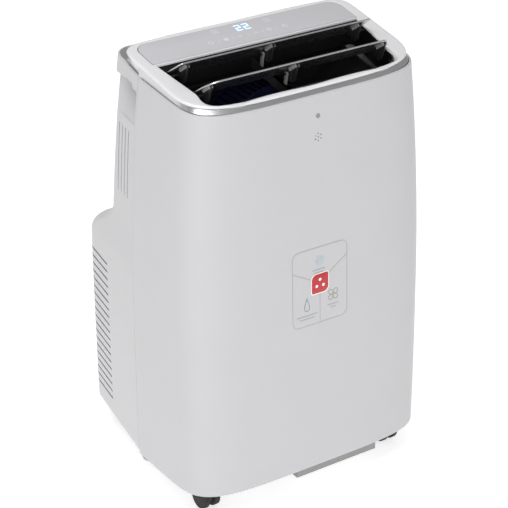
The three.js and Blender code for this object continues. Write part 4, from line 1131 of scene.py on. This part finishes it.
# ---- Louvers -------------------------------------------------------------------------------------
# Two silver-faced blades lie across the outlet and tip up on pins at both sides and in the middle. Each
# has three black brackets with stiffening ribs under it, and both turn together on a hidden link.
silver_paint = plated("silver_paint", (0.66, 0.66, 0.67, 1), 0.28)
bracket_grey = moulded("bracket_grey", grey(0.022), 0.32, grain=0.8 * MM)
# The brackets' stiffening ribs and the cross rib's posts are the same black plastic, coloured a lighter grey as
# painted highlight.
painted_highlight_grey = moulded("painted_highlight_grey", grey(0.3), 0.3, grain=0.8 * MM)
blade_thick = 2.6 * MM
blade_chord = (outlet_depth - 5.4 * MM) / 2
pivot_back = 0.648 * blade_chord
pivot_drop = 7.8 * MM
opened = math.radians(45.5)
blade_front = {"rear": outlet_rear - 2 * MM - blade_chord, "front": outlet_rear - 3.4 * MM - 2 * blade_chord}


def tipped(points, which):
    """Points of a closed blade, turned about its pins to the open pose and laid on the slope."""
    pivot = blade_front[which] + pivot_back
    up = points[..., 1] - pivot
    out = points[..., 2] + pivot_drop
    turned = np.stack([points[..., 0], pivot + up * math.cos(opened) + out * math.sin(opened),
                       -pivot_drop - up * math.sin(opened) + out * math.cos(opened)], -1)
    return on_slope(turned)


def gusset(centre, front):
    """A gusset of four sides under a blade."""
    outline = rounded([(front + 5 * MM, -2 * MM), (front + 29 * MM, -22 * MM), (front + 40 * MM, -22 * MM),
                       (front + 50 * MM, -2 * MM)], [1 * MM, 3 * MM, 4 * MM, 1 * MM], 4)
    return plate(outline, -1.2 * MM, 1.2 * MM, 0.4 * MM, 2, "x", (centre, 0, 0))


def comb(centre, front):
    """Five short ribs across a gusset, close under the blade."""
    tooth = box_outline(4 * MM, 0.55 * MM, 0.3 * MM, 2)
    return [plate(tooth, -6.5 * MM, -2 * MM, 0.2 * MM, 1, "z", (centre, front + (12 + 4.4 * number) * MM, 0))
            for number in range(5)]


for which in ("rear", "front"):
    front = blade_front[which]
    rear = front + blade_chord
    corner = 25 * MM if which == "front" else 4 * MM
    outline = tapered(front, outlet_half(front) - 3 * MM, rear, outlet_half(rear) - 3 * MM,
                      [corner, corner, 4 * MM, 4 * MM], 12)
    face = plate(outline, -blade_thick, 0, 1.0 * MM)
    make("blade_" + which, placed([face], lambda points: tipped(points, which)), silver_paint, "louver_" + which,
         "silver_blade", ["louver_" + which])
    gusset_reach = 152 * MM
    forms, combs = [], []
    for centre in (-gusset_reach, -5 * MM, gusset_reach):
        forms.append(gusset(centre, front))
        combs += comb(centre, front)
    pin_reach = outlet_half(front + pivot_back) + 3.9 * MM
    for start, stop in ((-pin_reach, -gusset_reach), (-11.5 * MM, -5 * MM), (gusset_reach, pin_reach)):
        pin = spun(edged(2 * MM, start, stop, 0.3 * MM), "x", (0, front + pivot_back, -pivot_drop), 28)
        forms.append(lofted(pin))
    for name, parts, finish in (("brackets_", forms, bracket_grey), ("bracket_ribs_", combs, painted_highlight_grey)):
        make(name + which, placed(parts, lambda points: tipped(points, which)), finish, "louver_" + which,
             "silver_blade")

rib_x = -9 * MM
rib_top = -28 * MM
rib_low = -42 * MM
rib_front = outlet_front + 0.7 * MM
rib_rear = outlet_rear - 0.7 * MM
scoop = np.linspace(0, 1, 15)
rib_curve = np.stack([rib_front + scoop * 22 * MM, -7 * MM + (rib_top + 7 * MM) * np.sin(scoop * math.pi / 2)], 1)
rib_line = np.concatenate([[(rib_front, rib_low)], rib_curve, [(rib_rear, rib_top), (rib_rear, rib_low)]])
rib_form = plate(rib_line, -1.5 * MM, 1.5 * MM, 0.3 * MM, 2, "x", (rib_x, 0, 0))
posts = []
for which in ("rear", "front"):
    post = tapered(rib_top - 2 * MM, 3 * MM, -pivot_drop + 3.6 * MM, 3.2 * MM, [0.5 * MM] * 2 + [3 * MM] * 2)
    pivot = blade_front[which] + pivot_back
    posts.append(plate(post, -1.4 * MM, 1.4 * MM, 0.4 * MM, 2, "x", (rib_x, pivot, 0)))
rib_black = moulded("rib_black", grey(0.03), 0.3, grain=1 * MM)
make("cross_rib", placed([rib_form], on_slope), rib_black, "root", "black_plastic", ["louver_rib"])
# The posts take the lighter grey of painted highlight, like the brackets' ribs.
make("rib_posts", placed(posts, on_slope), painted_highlight_grey, "root", "black_plastic")

# ---- Information sticker -------------------------------------------------------------------------
# A clear film with a thin grey outline is stuck on the front. It has a red badge in the middle, three
# dividing lines, and three plain pictures with bars where the words would be.
line_grey = moulded("line_grey", grey(0.38), 0.5)
badge_red = moulded("badge_red", (0.48, 0.02, 0.025, 1), 0.32)
badge_white = moulded("badge_white", grey(0.85), 0.4)
ice_blue = moulded("ice_blue", (0.45, 0.55, 0.62, 1), 0.45)
drop_blue = moulded("drop_blue", (0.2, 0.27, 0.33, 1), 0.45)
leaf_olive = moulded("leaf_olive", (0.3, 0.31, 0.2, 1), 0.45)
sticker_z = 357 * MM


def on_front(points, lift):
    """Points with x across and the second value up from the sticker's middle, wrapped on to the front face."""
    x, up, out = points[..., 0], points[..., 1], points[..., 2]
    z = sticker_z + up
    share = np.clip(np.abs(x) / half_width(z), 0, 0.999)
    depth = (crown_y - face_y(z)) * (1 - share**squareness)**(1 / squareness)
    return np.stack([x, crown_y - depth - out - lift, z], -1)


def outline_band(outline, width, thick):
    """A closed line of even width along an outline: its section is a thin box."""
    corners = [(0, -thick), (0, thick), (width, thick), (width, -thick)]
    return hooped(np.stack([np.concatenate([outline + inward(outline) * draw, np.full((len(outline), 1), rise)], 1)
                            for draw, rise in corners]))


def sticker_piece(name, forms, finish, lift):
    make(name, placed(forms, lambda points: on_front(points, lift)), finish, "root", "white_casing")


sticker_half = (50 * MM, 62.5 * MM)
sticker_line = finer(box_outline(*sticker_half, 12 * MM, 10), 6 * MM)
sticker_piece("sticker_outline", [outline_band(sticker_line, 0.8 * MM, 0.1 * MM)], line_grey, 0)
badge_z = 3 * MM
for name, finish, half_x, half_z, corner, low, high in (("badge_border", badge_white, 16.5, 17, 4, -0.05, 0.12),
                                                        ("badge", badge_red, 15, 15.5, 3, 0, 0.2)):
    outline = tapered(badge_z - half_z * MM, half_x * MM, badge_z + half_z * MM, half_x * MM,
                      [corner * MM, (corner + 6) * MM] * 2)
    sticker_piece(name, [plate(outline, low * MM, high * MM, 0.03 * MM, 2)], finish, 0)
dividers = [(-49.5, 30, -16, 12), (49.5, 38, 15, 15), (0, -14.5, 0, -62)]
sticker_piece("sticker_dividers", strokes(dividers, 0.8 * MM), line_grey, 0.03 * MM)
dots = [(x - 0.01, z, x + 0.01, z) for x, z in ((-6, -4), (6, -4), (0, 6))]
sticker_piece("badge_dots", strokes(dots, 5 * MM, badge_z), badge_white, 0.22 * MM)

snow_z = 40 * MM
barbs = []
for turn in np.radians(np.arange(6) * 60):
    tip = np.array([math.cos(turn), math.sin(turn)])
    side = np.array([-tip[1], tip[0]])
    barbs += [(*(5 * tip), *(5 * tip + 2.2 * (tip + hand * side))) for hand in (-1, 1)]
snow = strokes(star(0, 0, 8), 1 * MM, snow_z) + strokes(barbs, 0.8 * MM, snow_z)
sticker_piece("snow_picture", snow, ice_blue, 0.03 * MM)

turn = np.linspace(0, 2 * math.pi, 48, endpoint=False)
drop_shape = np.stack([-7 * MM * np.sin(turn) * np.sin(turn / 2)**1.4, 11 * MM * np.cos(turn)], 1) + (-24 * MM, -27 * MM)
sticker_piece("drop_picture", [outline_band(drop_shape, 1 * MM, 0.1 * MM)], drop_blue, 0)

leaves = []
petal_turn = np.linspace(0, 2 * math.pi, 28, endpoint=False)
for angle in np.radians((45, 135, 225, 315)):
    oval = np.stack([6 * MM + 5 * MM * np.cos(petal_turn), 4.2 * MM * np.sin(petal_turn)], 1)
    spin = np.array([[math.cos(angle), math.sin(angle)], [-math.sin(angle), math.cos(angle)]])
    leaves.append(outline_band(oval @ spin + (24 * MM, -22 * MM), 0.9 * MM, 0.1 * MM))
sticker_piece("fan_picture", leaves, leaf_olive, 0)

bars = ((-2, 26, 11), (-2, 21, 8), (-24, -45, 18), (-24, -50, 13), (24, -38, 10), (24, -43, 4))
captions = strokes([(x - half, z, x + half, z) for x, z, half in bars], 1.3 * MM)
sticker_piece("caption_bars", captions, line_grey, 0.03 * MM)

# ---- Floor ---------------------------------------------------------------------------------------
# The floor is a matt off-white sheet that is part of the studio.
floor_paint = Paint("floor_white", Roughness=0.9, Specular_IOR_Level=0.1, Emission_Strength=0.6)
floor_drift = floor_paint.noise(300 * MM, 2.0)
floor_paint.set(Base_Color=floor_paint.blend(floor_drift, grey(0.9), grey(0.93)))
floor_paint.set(Emission_Color=floor_paint.blend(floor_drift, grey(0.98), grey(1.0)))
floor_mesh = bpy.data.meshes.new("floor")
far = 12.0
floor_mesh.from_pydata([(-far, -far, 0), (far, -far, 0), (far, far, 0), (-far, far, 0)], [], [(0, 1, 2, 3)])
floor_mesh.materials.append(floor_paint.material)
floor = bpy.data.objects.new("floor", floor_mesh)
scene.collection.objects.link(floor)
